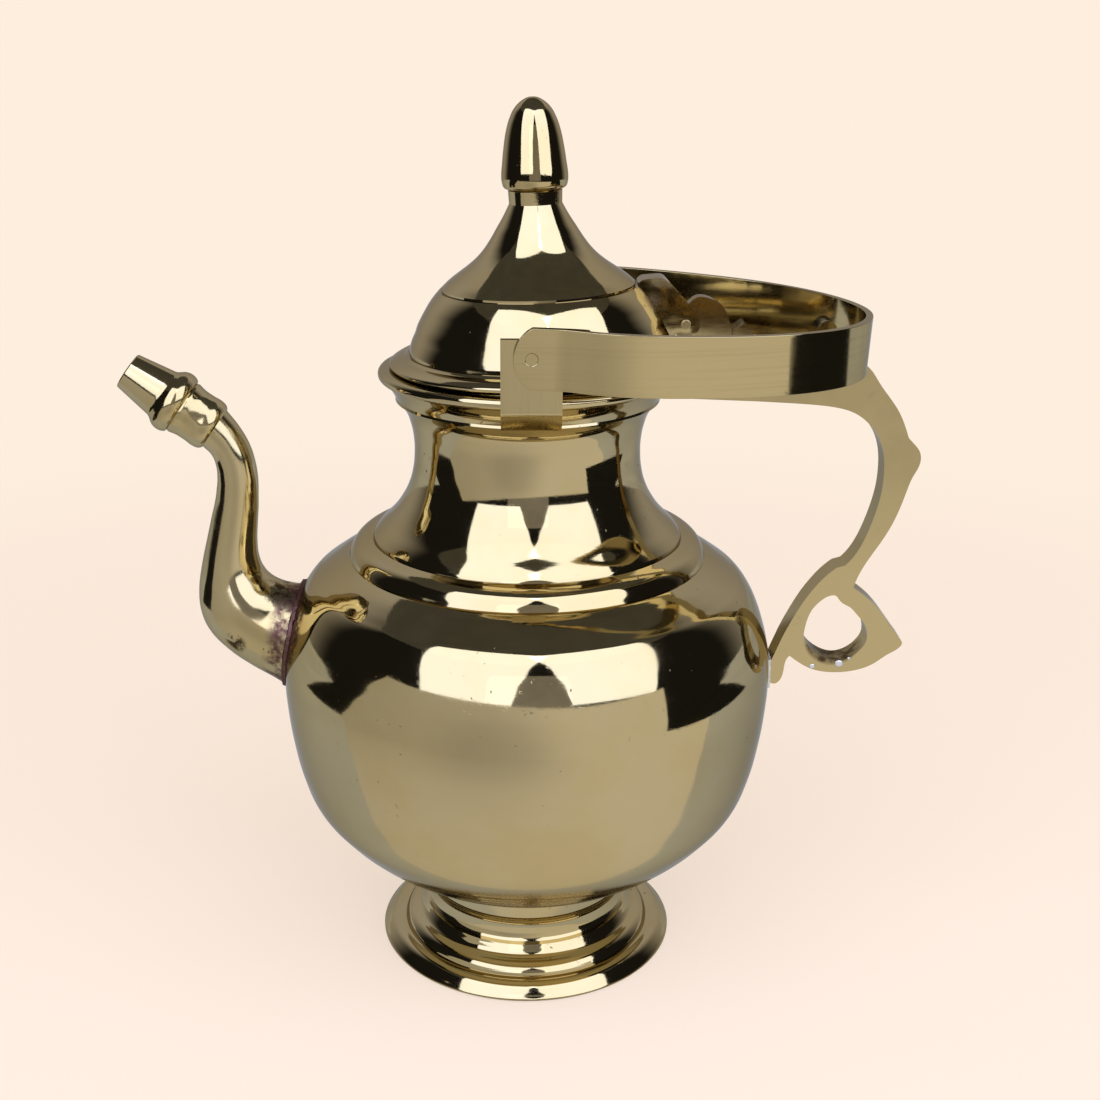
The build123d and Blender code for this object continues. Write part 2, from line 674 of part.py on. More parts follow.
def build_parts():
    belly_solid, neck_solid = belly_body(), neck_body()
    bore = spout_solid(spout_wall)
    spout_outside = spout_solid(0)
    handle = make_handle([belly_solid, neck_solid])
    return {
        "foot_ring": make_foot(),
        "belly_bowl": make_belly(bore),
        "neck_collar": make_neck(),
        "spout_tube": spout_outside - bore - belly_solid - neck_solid,
        "spout_nozzle": make_nozzle(),
        "spout_solder": make_spout_solder(spout_outside, belly_solid, neck_solid),
        "handle_casting": handle,
        "handle_solder": make_handle_solder(handle, belly_solid),
        "lid_shell": place_lid(make_lid_shell()),
        "lid_collar": place_lid(make_lid_collar()),
        "lid_hinge_lug": make_lid_lug(),
        "hinge_pin": cross_pin(hinge_pin_radius, hinge_span + hinge_pin_proud, hinge_reach, hinge_height),
        "finial": place_lid(make_finial()),
        "finial_nut": place_lid(make_finial_nut()),
        "ear_near": make_ear(-1, neck_solid),
        "ear_far": make_ear(1, neck_solid),
        "rivet_near": make_rivet(-1),
        "rivet_far": make_rivet(1),
        "bail_strip": make_bail(),
    }


if __name__ == "__main__":
    os.makedirs("parts", exist_ok=True)
    for name, shape in build_parts().items():
        export_step(shape, f"parts/{name}.step")
        print(name, len(shape.solids()), round(shape.volume, 1))
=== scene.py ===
import math
from collections import namedtuple

import bmesh
import bpy
from bpy.props import FloatProperty, FloatVectorProperty, IntProperty, PointerProperty
from mathutils import Matrix, Vector, noise


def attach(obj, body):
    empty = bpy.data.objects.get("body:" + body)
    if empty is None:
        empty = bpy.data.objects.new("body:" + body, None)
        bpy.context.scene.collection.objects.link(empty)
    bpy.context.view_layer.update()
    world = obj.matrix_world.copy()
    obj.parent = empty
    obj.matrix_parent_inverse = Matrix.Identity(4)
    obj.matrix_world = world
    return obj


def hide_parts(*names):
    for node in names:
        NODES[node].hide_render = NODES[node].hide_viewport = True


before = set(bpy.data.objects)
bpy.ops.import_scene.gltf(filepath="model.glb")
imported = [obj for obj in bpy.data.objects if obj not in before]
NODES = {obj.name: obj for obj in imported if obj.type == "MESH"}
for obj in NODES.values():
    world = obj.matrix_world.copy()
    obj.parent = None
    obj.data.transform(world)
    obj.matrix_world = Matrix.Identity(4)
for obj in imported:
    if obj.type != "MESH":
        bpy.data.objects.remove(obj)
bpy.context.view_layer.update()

bl_info = {
    "name": "Brass kamandal",
    "version": (1, 0, 0),
    "blender": (4, 5, 0),
    "location": "3D View > Sidebar > Kamandal",
    "description": "Builds a footed brass water pot with a cast spout, a scrolled handle, a hinged lid and a bail",
    "category": "Add Mesh",
}

# A point of an outline is radius, height and, where it isn't smooth, one of these
CORNER, GROOVE, RIDGE = "corner", "groove", "ridge"

# Outlines as shares. Belly below its widest ring: radius over its own, height over its rise
BELLY_LOWER = (
    (0.0, 0.0), (0.14, 0.009), (0.276, 0.036), (0.42, 0.088), (0.579, 0.166), (0.69, 0.24),
    (0.772, 0.308), (0.855, 0.398), (0.909, 0.475), (0.948, 0.585), (0.976, 0.72), (0.995, 0.88), (1.0, 1.0),
)
# Belly above it: how far the radius still is from the seam's, and the share of the rise to the seam
BELLY_UPPER = (
    (0.984, 0.16), (0.94, 0.3), (0.877, 0.43), (0.79, 0.57), (0.69, 0.685), (0.545, 0.795),
    (0.42, 0.85), (0.28, 0.905), (0.14, 0.955),
)
# Neck from its groove up to the waist: how far the radius still is from the waist's, and the share of the rise
NECK_LOWER = ((0.84, 0.085), (0.54, 0.245), (0.315, 0.41), (0.155, 0.575), (0.05, 0.76), (0.0, 1.0))
# Bulging band between the seam and the groove over it: how far its radius still is from the groove's, and the
# share of the rise
BAND = ((0.845, 0.39), (0.577, 0.726))
# Neck from the waist up: share of the way out to the raised line, and of the rise, then the same to the lip's root
NECK_UPPER = ((0.04, 0.3), (0.2, 0.55), (0.49, 0.79))
FLARE_END = (0.42, 0.5)
# Foot, each from the outer groove in: share of the way out to it, and of the rise from it
FOOT_COVE = ((0.83, 0.2), (0.66, 0.35), (0.48, 0.43), (0.31, 0.523), (0.1, 0.83))
SKIRT = ((0.97, 0.02), (0.78, 0.44), (0.53, 0.86), (0.28, 0.985))
# Stem: how far it is drawn in, as the share of its radius, and where, as the share of its rise
STEM_WAIST = ((0.982, 0.14), (0.962, 0.36), (0.958, 0.6), (0.975, 0.85))
# Stem of the belly: how far up its wall it reaches, as the share of the belly's lower rise, inside and outside
STEM_END = (0.088, 0.094)
# Lip: eighths of a turn of its roll, as shares of its radius
LIP_ROLL = ((-1.0, -1.0), (-0.293, -0.707), (0.0, 0.0), (-0.293, 0.707), (-1.0, 1.0))
# Lid: radius over the dome's foot, and height over the spire's. The groove is cut at one of these points
DOME = (
    (0.993, 0.12), (0.975, 0.163), (0.948, 0.21), (0.927, 0.256), (0.898, 0.302), (0.865, 0.348),
    (0.83, 0.394), (0.787, 0.44), (0.74, 0.481), (0.673, 0.532), (0.6, 0.577), (0.522, 0.624),
    (0.457, 0.67), (0.406, 0.716), (0.366, 0.761), (0.33, 0.807), (0.297, 0.853), (0.262, 0.9),
    (0.228, 0.95),
)
DOME_GROOVE = 8
# Finial: radius over the acorn's widest, and height over the finial's. The neck under it widens to its top
ACORN = (
    (0.78, 0.133), (0.93, 0.155), (0.985, 0.2), (1.0, 0.262), (0.955, 0.4), (0.895, 0.545),
    (0.81, 0.69), (0.685, 0.815), (0.53, 0.905), (0.3, 0.972),
)
ACORN_TIP = 0.2
FINIAL_NECK = (1.02, 0.9)
# Nozzle: distance from the tip over its length, radius over the bead's
NOZZLE = (
    (0.345, 0.762), (0.4, 0.8), (0.43, 0.865), (0.468, 0.95), (0.525, 1.0), (0.59, 0.965), (0.63, 0.89),
    (0.655, 0.862), (0.72, 0.82), (0.82, 0.813), (0.915, 0.826), (0.975, 0.775),
)
NOZZLE_GROOVE = 6
# Spout: distance outside the belly and height above its widest ring, both over those of the nozzle's foot,
# radius over the swell, and tilt over a right angle
SPOUT = (
    (0.833, 0.949, 0.402, 0.480), (0.729, 0.892, 0.406, 0.350), (0.687, 0.837, 0.417, 0.245),
    (0.682, 0.775, 0.435, 0.155), (0.725, 0.688, 0.467, 0.115), (0.805, 0.583, 0.527, 0.145),
    (0.881, 0.479, 0.602, 0.200), (0.909, 0.392, 0.692, 0.257), (0.871, 0.322, 0.785, 0.330),
    (0.765, 0.265, 0.857, 0.428), (0.543, 0.210, 0.905, 0.575), (0.250, 0.165, 0.958, 0.720),
    (-0.078, 0.130, 1.045, 0.840), (-0.394, 0.098, 1.230, 0.940),
)


def length(name, description, default):
    """A length of the pot that a user may change."""
    return FloatProperty(name=name, description=description, default=default, min=0.0, unit="LENGTH", precision=5)


def share(name, description, default):
    """A plain share from nothing to all."""
    return FloatProperty(name=name, description=description, default=default, min=0.0, max=1.0, subtype="FACTOR")


def brightness(name, description, default):
    """The radiance of a panel or a card."""
    return FloatProperty(name=name, description=description, default=default, min=0.0)


def angle(name, description, degrees):
    """An angle, given in degrees."""
    return FloatProperty(name=name, description=description, default=math.radians(degrees), subtype="ANGLE")


def colour(name, description, default):
    """A colour in linear light."""
    return FloatVectorProperty(name=name, description=description, default=default, size=3, min=0.0, max=1.0,
                               subtype="COLOR")


class KamandalSizes(bpy.types.PropertyGroup):
    """Sizes of the pot, as the CAD model has them."""
    sheet_wall: length("Sheet wall", "Thickness of the foot, belly and neck", 0.0015)
    groove: length("Groove", "Depth of a turned groove", 0.0005)
    foot_radius: length("Foot radius", "Outer edge of the foot", 0.0453)
    foot_edge_round: length("Foot edge", "Rounding of the foot's edge", 0.0008)
    foot_land: length("Foot land", "Width of the ring that the pot stands on", 0.0024)
    skirt_groove_radius: length("Skirt groove radius", "Groove above the foot's skirt", 0.0383)
    skirt_groove_height: length("Skirt groove height", "Groove above the foot's skirt", 0.0046)
    stem_groove_radius: length("Stem groove radius", "Groove under the foot's stem", 0.0312)
    stem_groove_height: length("Stem groove height", "Groove under the foot's stem", 0.011)
    stem_radius: length("Stem radius", "Stem between foot and belly", 0.0309)
    stem_top_height: length("Stem top", "Joint between foot and belly", 0.0195)
    belly_floor_height: length("Belly floor", "Lowest point of the belly", 0.0182)
    belly_radius: length("Belly radius", "Widest ring of the belly", 0.0725)
    belly_widest_height: length("Belly's widest height", "Height of the widest ring", 0.09)
    seam_radius: length("Seam radius", "Groove where neck and belly meet", 0.0523)
    seam_height: length("Seam height", "Groove where neck and belly meet", 0.1258)
    seam_land: length("Seam land", "Width of the soldered seam", 0.0021)
    shoulder_groove_radius: length("Shoulder groove radius", "Groove at the foot of the neck", 0.0452)
    shoulder_groove_height: length("Shoulder groove height", "Groove at the foot of the neck", 0.132)
    neck_radius: length("Neck radius", "Waist of the neck", 0.0325)
    neck_height: length("Neck height", "Waist of the neck", 0.1565)
    flare_ring_radius: length("Flare ring radius", "Raised line under the lip", 0.0372)
    flare_ring_height: length("Flare ring height", "Raised line under the lip", 0.1723)
    lip_root_radius: length("Lip root radius", "Under the rolled lip", 0.0406)
    lip_root_height: length("Lip root height", "Under the rolled lip", 0.1777)
    lip_radius: length("Lip radius", "Outer edge of the rolled lip", 0.0424)
    lip_roundness: length("Lip roundness", "Radius of the roll", 0.00165)
    rim_height: length("Rim height", "Top of the rolled lip", 0.181)
    mouth_radius: length("Mouth radius", "Inside of the mouth", 0.037)
    mouth_round: length("Mouth edge", "Edge of the mouth", 0.0007)
    mouth_depth: length("Mouth depth", "Straight part of the mouth", 0.0065)
    spout_tip_reach: length("Spout reach", "Tip of the nozzle from the axis", 0.1136)
    spout_tip_height: length("Spout height", "Tip of the nozzle above the table", 0.1791)
    nozzle_slope: angle("Nozzle slope", "Rise of the nozzle over level", 35.5)
    nozzle_length: length("Nozzle length", "Length along its own axis", 0.0291)
    nozzle_tip_radius: length("Nozzle tip radius", "Outside of the tip", 0.0055)
    nozzle_bead_radius: length("Nozzle bead radius", "Widest ring of the nozzle", 0.00935)
    nozzle_foot_radius: length("Nozzle foot radius", "Where the nozzle meets the spout", 0.0065)
    nozzle_edge: length("Nozzle edge", "Bevel of the nozzle's tip", 0.0003)
    spout_neck_radius: length("Spout neck radius", "Spout just under the nozzle", 0.0062)
    spout_swell: length("Spout swell", "Radius that the sections of the spout are shares of", 0.0143)
    spout_wall: length("Spout wall", "Thickness of the cast spout", 0.0015)
    lid_wall: length("Lid wall", "Thickness of the lid", 0.0012)
    lid_shift: length("Lid shift", "The lid sits off the pot's axis towards its hinge", 0.0037)
    lid_lean: angle("Lid lean", "The lid stands a little high at its hinge", 2.2)
    flange_radius: length("Flange radius", "Edge of the lid", 0.0428)
    flange_edge: length("Flange edge", "Thickness of the lid's edge", 0.002)
    dome_foot_radius: length("Dome foot radius", "Foot of the dome", 0.037)
    dome_foot_height: length("Dome foot height", "Foot of the dome over the flange's underside", 0.0036)
    spire_height: length("Spire height", "Top of the lid's spire", 0.0435)
    spire_top_radius: length("Spire radius", "Top of the lid's spire", 0.0073)
    finial_neck_height: length("Finial neck", "Turned neck under the acorn", 0.0039)
    finial_height: length("Finial height", "Finial above the spire", 0.0279)
    finial_radius: length("Finial radius", "Widest ring of the acorn", 0.00915)
    stud_radius: length("Stud radius", "Stud that holds the finial", 0.0025)
    stud_length: length("Stud length", "Stud that holds the finial", 0.007)
    soft_edge: length("Soft edge", "Rounding that filing and polishing left on cast edges", 0.0007)
    strip_edge: length("Strip edge", "Rounding of the strip's edges", 0.00028)


class KamandalFinish(bpy.types.PropertyGroup):
    """Colours and polish of the pot, and the light on it."""
    brass: colour("Brass", "Polished brass seen straight on", (0.61, 0.505, 0.285))
    warm_brass: colour("Warm brass", "Where the lacquer has yellowed", (0.59, 0.47, 0.235))
    cast_brass: colour("Cast brass", "Filed and brushed brass", (0.60, 0.48, 0.235))
    # Dull brass is also the colour of the painted shade at the handle's top
    dull_brass_and_shade: colour("Dull brass", "Hollows that the buff didn't reach", (0.26, 0.205, 0.105))
    rim_tint: colour("Rim tint", "Polished brass seen along its surface", (0.60, 0.58, 0.54))
    # Dark brown: the spout's stains, and the darkening on the inner wall of the handle's loop
    dark_brown: colour("Patina", "Dark dirt in the inner edges", (0.085, 0.055, 0.025))
    tarnish: colour("Tarnish", "Brown specks", (0.16, 0.085, 0.035))
    burnt: colour("Burnt metal", "Purple-brown where the torch was", (0.15, 0.075, 0.065))
    solder: colour("Solder", "Dull silver solder", (0.82, 0.81, 0.79))
    mirror: share("Mirror polish", "Roughness of polished brass", 0.055)
    haze: share("Haze", "Roughness where the polish is handled", 0.17)
    satin: share("Satin", "Roughness of brushed brass", 0.30)
    backdrop: colour("Backdrop", "Floor and background", (0.991, 0.855, 0.730))
    panel_light: brightness("Panel light", "Radiance of each soft panel", 2.4)
    front_card: brightness("Front card", "Radiance of the white card before the pot", 0.74)
    back_card: brightness("Back card", "Radiance of the grey surroundings behind the pot", 0.46)
    table_card: brightness("Table behind", "Radiance of the table behind the pot", 0.54)
    gap_card: brightness("Gap card", "Radiance of the wall between the panels", 0.26)
    ceiling_card: brightness("Ceiling", "Radiance of the dim ceiling", 0.075)
    dark_card: brightness("Dark card", "Radiance of the dark surroundings in front", 0.013)
    smoothness: IntProperty(name="Smoothness", description="Steps on each span of a turned outline", default=6, min=1)
    turns: IntProperty(name="Steps round", description="Steps round a turned piece", default=192, min=12)


def between(start, end, part):
    """A size on the way from one size to another."""
    return start + (end - start) * part


def smooth_line(points, corners, steps, closed=False):
    """Points along a Bezier curve through the given ones, straight into and out of the corners."""
    data = bpy.data.curves.new("section", "CURVE")
    data.dimensions = "3D"
    data.resolution_u = steps
    spline = data.splines.new("BEZIER")
    spline.bezier_points.add(len(points) - 1)
    for knot, point, corner in zip(spline.bezier_points, points, corners):
        knot.co = point
        knot.handle_left_type = knot.handle_right_type = "VECTOR" if corner else "AUTO"
    spline.use_cyclic_u = closed
    carrier = bpy.data.objects.new("section", data)
    mesh = bpy.data.meshes.new_from_object(carrier)
    line = [vertex.co.copy() for vertex in mesh.vertices]
    bpy.data.objects.remove(carrier)
    bpy.data.curves.remove(data)
    bpy.data.meshes.remove(mesh)
    return line


def detailed(outline, depth):
    """An outline with its grooves and ridges cut in, as points and whether each is a corner."""
    points, corners = [], []
    for i, entry in enumerate(outline):
        here = Vector((entry[0], 0.0, entry[1]))
        kind = entry[2] if len(entry) > 2 else None
        if kind in (GROOVE, RIDGE):
            before, after = outline[i - 1], outline[i + 1]
            along = Vector((after[0] - before[0], 0.0, after[1] - before[1])).normalized()
            inward = Vector((-along.z, 0.0, along.x))
            middle = here + inward * (depth if kind == GROOVE else -depth)
            points += [here - along * depth, middle, here + along * depth]
            corners += [True, True, True]
        else:
            points.append(here)
            corners.append(kind == CORNER)
    return points, corners


def inset(outline, distance):
    """Plain points of an outline moved square to it, towards its inner side."""
    moved = []
    for i, entry in enumerate(outline):
        before, after = outline[max(i - 1, 0)], outline[min(i + 1, len(outline) - 1)]
        along_r, along_z = after[0] - before[0], after[1] - before[1]
        run = math.hypot(along_r, along_z)
        moved.append((entry[0] - distance * along_z / run, entry[1] + distance * along_r / run))
    return moved


def turned(outline, s, finish, closed=True, mesh=None):
    """Turn an outline about Z, in a new mesh or in one that is there."""
    if mesh is None:
        mesh = bmesh.new()
    points, corners = detailed(outline, s.groove)
    line = smooth_line(points, corners, finish.smoothness, closed)
    verts = [mesh.verts.new(point) for point in line]
    edges = [mesh.edges.new(pair) for pair in zip(verts, verts[1:])]
    if closed:
        edges.append(mesh.edges.new((verts[-1], verts[0])))
    bmesh.ops.spin(mesh, geom=verts + edges, cent=(0, 0, 0), axis=(0, 0, 1), dvec=(0, 0, 0),
                   angle=math.tau, steps=finish.turns, use_merge=True, use_duplicate=False)
    return mesh


MERGE = 1e-7
# Faces that meet at more than this many degrees show an edge: on turned and filed pieces, and on solder
SHARP_ANGLE = 32.0
SOLDER_ANGLE = 70.0


def placed(name, mesh, material):
    """The object of a finished bmesh, in the scene."""
    data = bpy.data.meshes.new(name)
    mesh.to_mesh(data)
    mesh.free()
    data.materials.append(material)
    thing = bpy.data.objects.new(name, data)
    bpy.context.scene.collection.objects.link(thing)
    return thing


def finish_mesh(mesh, name, body, material, place=None, sharp=SHARP_ANGLE, replaces=(), weighted=False):
    """Close a bmesh, put it in its place, hang it on its body's empty and hide the CAD nodes that it replaces."""
    bmesh.ops.remove_doubles(mesh, verts=mesh.verts, dist=MERGE)
    if place is not None:
        bmesh.ops.transform(mesh, matrix=place, verts=mesh.verts)
    bmesh.ops.recalc_face_normals(mesh, faces=mesh.faces)
    piece = placed(name, mesh, material)
    piece.data.shade_smooth()
    piece.data.set_sharp_from_angle(angle=math.radians(sharp))
    if weighted:
        even = piece.modifiers.new("Even shading", "WEIGHTED_NORMAL")
        even.keep_sharp = True
    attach(piece, body)
    if replaces:
        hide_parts(*replaces)


# A pattern of noise: cells to a metre, detail, roughness, the span of its values that shows, and distortion
Pattern = namedtuple("Pattern", "cells detail rough low high distortion", defaults=(0.0, 1.0, 0.0))
# The relief of a pattern: its strength, and its depth in metres
Relief = namedtuple("Relief", "strength depth")
EVEN = (1.0, 1.0, 1.0)
MIDDLE = LEVEL = (0.0, 0.0, 0.0)
FULL = (0.0, 1.0)


class Nodes:
    """A short hand for wiring a material."""

    def __init__(self, name):
        self.material = bpy.data.materials.get(name) or bpy.data.materials.new(name)
        self.material.use_nodes = True
        self.tree = self.material.node_tree
        self.tree.nodes.clear()
        self.place = self.add("ShaderNodeTexCoord").outputs["Object"]

    def add(self, kind, **settings):
        node = self.tree.nodes.new(kind)
        for key, value in settings.items():
            setattr(node, key, value)
        return node

    def feed(self, socket, value):
        """Link a socket to another one, or give it a number or a colour."""
        if isinstance(value, bpy.types.NodeSocket):
            self.tree.links.new(value, socket)
        else:
            socket.default_value = (*value, 1.0) if socket.type == "RGBA" else value

    def show(self, closure):
        """Send a closure to the output, and return the material."""
        self.tree.links.new(closure, self.add("ShaderNodeOutputMaterial").inputs["Surface"])
        return self.material

    def noise(self, pattern, centre=MIDDLE, stretch=EVEN, turn=LEVEL, finer=1.0):
        """The bare noise of a pattern, centred on a piece, stretched and turned."""
        mapping = self.add("ShaderNodeMapping", vector_type="TEXTURE")
        self.feed(mapping.inputs["Vector"], self.place)
        mapping.inputs["Location"].default_value = centre
        mapping.inputs["Rotation"].default_value = turn
        mapping.inputs["Scale"].default_value = [1.0 / s for s in stretch]
        node = self.add("ShaderNodeTexNoise")
        self.feed(node.inputs["Vector"], mapping.outputs["Vector"])
        for key, number in (("Scale", pattern.cells * finer), ("Detail", pattern.detail),
                            ("Roughness", pattern.rough), ("Distortion", pattern.distortion)):
            node.inputs[key].default_value = number
        return node.outputs["Fac"]

    def shown(self, pattern, centre=MIDDLE, stretch=EVEN, turn=LEVEL, out=FULL):
        """The span of a pattern that shows, from one end of out to the other."""
        return self.range(self.noise(pattern, centre, stretch, turn), (pattern.low, pattern.high), out)

    def range(self, value, span, out=FULL):
        """A value over a span, brought softly to another span."""
        node = self.add("ShaderNodeMapRange", interpolation_type="SMOOTHSTEP")
        self.feed(node.inputs["Value"], value)
        for key, number in zip(("From Min", "From Max", "To Min", "To Max"), (*span, *out)):
            node.inputs[key].default_value = number
        return node.outputs["Result"]

    def times(self, first, second):
        node = self.add("ShaderNodeMath", operation="MULTIPLY", use_clamp=True)
        self.feed(node.inputs[0], first)
        self.feed(node.inputs[1], second)
        return node.outputs["Value"]

    def blend(self, amount, first, second):
        """A mix of two colours."""
        node = self.add("ShaderNodeMix", data_type="RGBA")
        self.feed(node.inputs[0], amount)
        self.feed(node.inputs[6], first)
        self.feed(node.inputs[7], second)
        return node.outputs[2]

    def mix_value(self, amount, first, second):
        """A mix of two numbers."""
        node = self.add("ShaderNodeMix", data_type="FLOAT")
        self.feed(node.inputs[0], amount)
        self.feed(node.inputs[2], first)
        self.feed(node.inputs[3], second)
        return node.outputs[0]

    def along(self, axis):
        """How far along an axis a point is."""
        node = self.add("ShaderNodeSeparateXYZ")
        self.feed(node.inputs[0], self.place)
        return node.outputs[axis]

    def near(self, centre, inner, outer):
        """One near a point, nothing far from it."""
        node = self.add("ShaderNodeVectorMath", operation="DISTANCE")
        self.feed(node.inputs[0], self.place)
        node.inputs[1].default_value = centre
        return self.range(node.outputs["Value"], (inner, outer), FULL[::-1])

    def spot(self, mark, pattern, out=FULL):
        """A ragged spot: its centre, and how far it is full and where it ends."""
        centre, inner, outer = mark
        return self.times(self.near(centre, inner, outer), self.shown(pattern, centre, out=out))

    def bump(self, height, relief, under=None):
        """A normal with a relief on it, over another normal where there is one."""
        node = self.add("ShaderNodeBump")
        node.inputs["Strength"].default_value = relief.strength
        node.inputs["Distance"].default_value = relief.depth
        self.feed(node.inputs["Height"], height)
        if under is not None:
            self.feed(node.inputs["Normal"], under)
        return node.outputs["Normal"]

    def metal(self, base, roughness, normal, rim):
        """A metal whose colour turns to another one at its rim."""
        shader = self.add("ShaderNodeBsdfPrincipled")
        shader.inputs["Metallic"].default_value = 1.0
        shader.inputs["Specular Tint"].default_value = (*rim, 1.0)
        self.feed(shader.inputs["Base Color"], base)
        self.feed(shader.inputs["Roughness"], roughness)
        self.feed(shader.inputs["Normal"], normal)
        return self.show(shader.outputs["BSDF"])


# Marks of the torch and the hand, and the darkening in the handle's loop: centre, how far each is full, and where it
# ends, in metres
SPOUT_ROOT = (-0.062, 0.0, 0.098)
SPOUT_SCORCH = (SPOUT_ROOT, 0.0186, 0.0210)
BELLY_SCORCH = (SPOUT_ROOT, 0.0178, 0.0196)
LUG_FOOT = (0.0335, 0.0, 0.1985)
LUG_SCORCH = (LUG_FOOT, 0.002, 0.0075)
LID_SCORCH = (LUG_FOOT, 0.004, 0.0095)
LOOP_DARKENING = ((0.0915, 0.0, 0.0992), 0.0086, 0.0100)
SPOUT_STAINS = (((-0.0856, -0.0112, 0.1003), 0.00189, 0.0042), ((-0.0735, -0.0050, 0.1138), 0.00261, 0.0058))
# Middles of the pieces, about which their patterns lie
SPOUT_MIDDLE, NOZZLE_MIDDLE = (-0.08, 0.0, 0.1), (-0.1, 0.0, 0.17)
HANDLE_MIDDLE, BAIL_MIDDLE = (0.09, 0.0, 0.13), (0.04, 0.0, 0.19)
MOUTH_MIDDLE, RIVET_MIDDLE = (0.0, 0.0, 0.18), (0.0, 0.0, 0.19)
LID_MIDDLE, NUT_MIDDLE, FINIAL_MIDDLE = (0.0, 0.0, 0.2), (0.0, 0.0, 0.22), (0.0, 0.0, 0.24)
LUG_MIDDLE, PIN_MIDDLE = (0.04, 0.0, 0.2), (0.044, 0.0, 0.1935)
# Heights over which the belly's haze fades out, and the handle's shade comes in
HAZE_HEIGHTS = (0.04, 0.088)
SHADE_HEIGHTS = (0.115, 0.165)

# Polished brass: yellowed lacquer, brown specks in patches, smudges, haze, turning lines and scratches
LACQUER = Pattern(26.0, 4.0, 0.6, 0.38, 0.68)
SPECKS = Pattern(620.0, 2.0, 0.5, 0.70, 0.76)
SPECK_PATCHES = Pattern(38.0, 2.0, 0.5, 0.50, 0.66)
SPECK_SHARE, SPECK_ROUGHNESS, SPECK_RELIEF = 0.75, 0.5, Relief(0.35, 0.00005)
SMUDGES = Pattern(55.0, 6.0, 0.62, 0.35, 0.75, 0.6)
SMUDGED_POLISH = (0.75, 1.6)
HAZE = Pattern(18.0, 5.0, 0.6, 0.3, 0.7)
HAZE_SHARE = (0.35, 1.0)
TURNING_LINES = Pattern(45.0, 3.0, 0.6)
TURNING_STRETCH, TURNING_RELIEF = (1.0, 1.0, 60.0), Relief(0.12, 0.00002)
SCRATCHES = Pattern(420.0, 3.0, 0.7, 0.55, 0.75)
SCRATCH_STRETCH, SCRATCH_TURN, SCRATCH_RELIEF = (1.0, 1.0, 5.0), (0.5, 0.3, 0.2), Relief(0.10, 0.00002)
SCORCH, SCORCH_ROUGHNESS = Pattern(240.0, 4.0, 0.65, 0.36, 0.62), 0.42
STAIN, STAIN_ROUGHNESS = Pattern(420.0, 4.0, 0.65, 0.42, 0.58), 0.4

# Filed and brushed brass: drift, dull hollows, the brush's grain and its worn streaks, painted shade at the handle's
# top, and darkening in its loop
FILED = Pattern(60.0, 5.0, 0.6, 0.35, 0.7)
HOLLOWS = Pattern(130.0, 6.0, 0.7, 0.62, 0.82, 0.4)
CAST_HOLLOWS, STRIP_HOLLOWS = 0.5, 0.15
PLAIN_GRAIN, HANDLE_GRAIN = (1.0, 1.0, 18.0), (1.0, 1.0, 14.0)
STRIP_GRAIN, EAR_GRAIN = (0.05, 0.05, 4.0), (5.0, 1.0, 0.2)
BRUSHED = Pattern(300.0, 4.0, 0.6, 0.3, 0.75)
BRUSHED_POLISH, BRUSHED_RELIEF = (0.8, 1.2), Relief(0.08, 0.00001)
WORN = (0.45, 0.7)
SHADE = Pattern(45.0, 4.0, 0.55, 0.35, 0.65)
SHADE_MOST, SHADE_SHARE = 0.42, (0.55, 1.0)
LOOP_DARK_CLOUD, LOOP_DARK_SHARE = Pattern(300.0, 4.0, 0.6, 0.35, 0.65), (0.45, 1.0)
CAST_SCORCH, CAST_SCORCH_ROUGHNESS = Pattern(260.0, 4.0, 0.65, 0.36, 0.6), 0.5
PITS, PIT_RELIEF = Pattern(520.0, 4.0, 0.6, 0.64, 0.8), Relief(0.15, 0.00004)
SWELLS, SWELL_RELIEF = Pattern(70.0, 2.0, 0.45), Relief(0.3, 0.0006)

# Solder: a mottle and lumps. Where on the mottle scorching starts and is full, and how much lower a torch brings it
MOTTLE, LUMPS = Pattern(330.0, 5.0, 0.7, 0.3, 0.7, 0.8), Pattern(700.0, 4.0, 0.6)
SCORCH_START, SCORCH_FULL = (0.62, 0.3), (0.72, 0.2)
SOLDER_ROUGHNESS, LUMP_RELIEF = (0.28, 0.55), Relief(0.5, 0.0002)


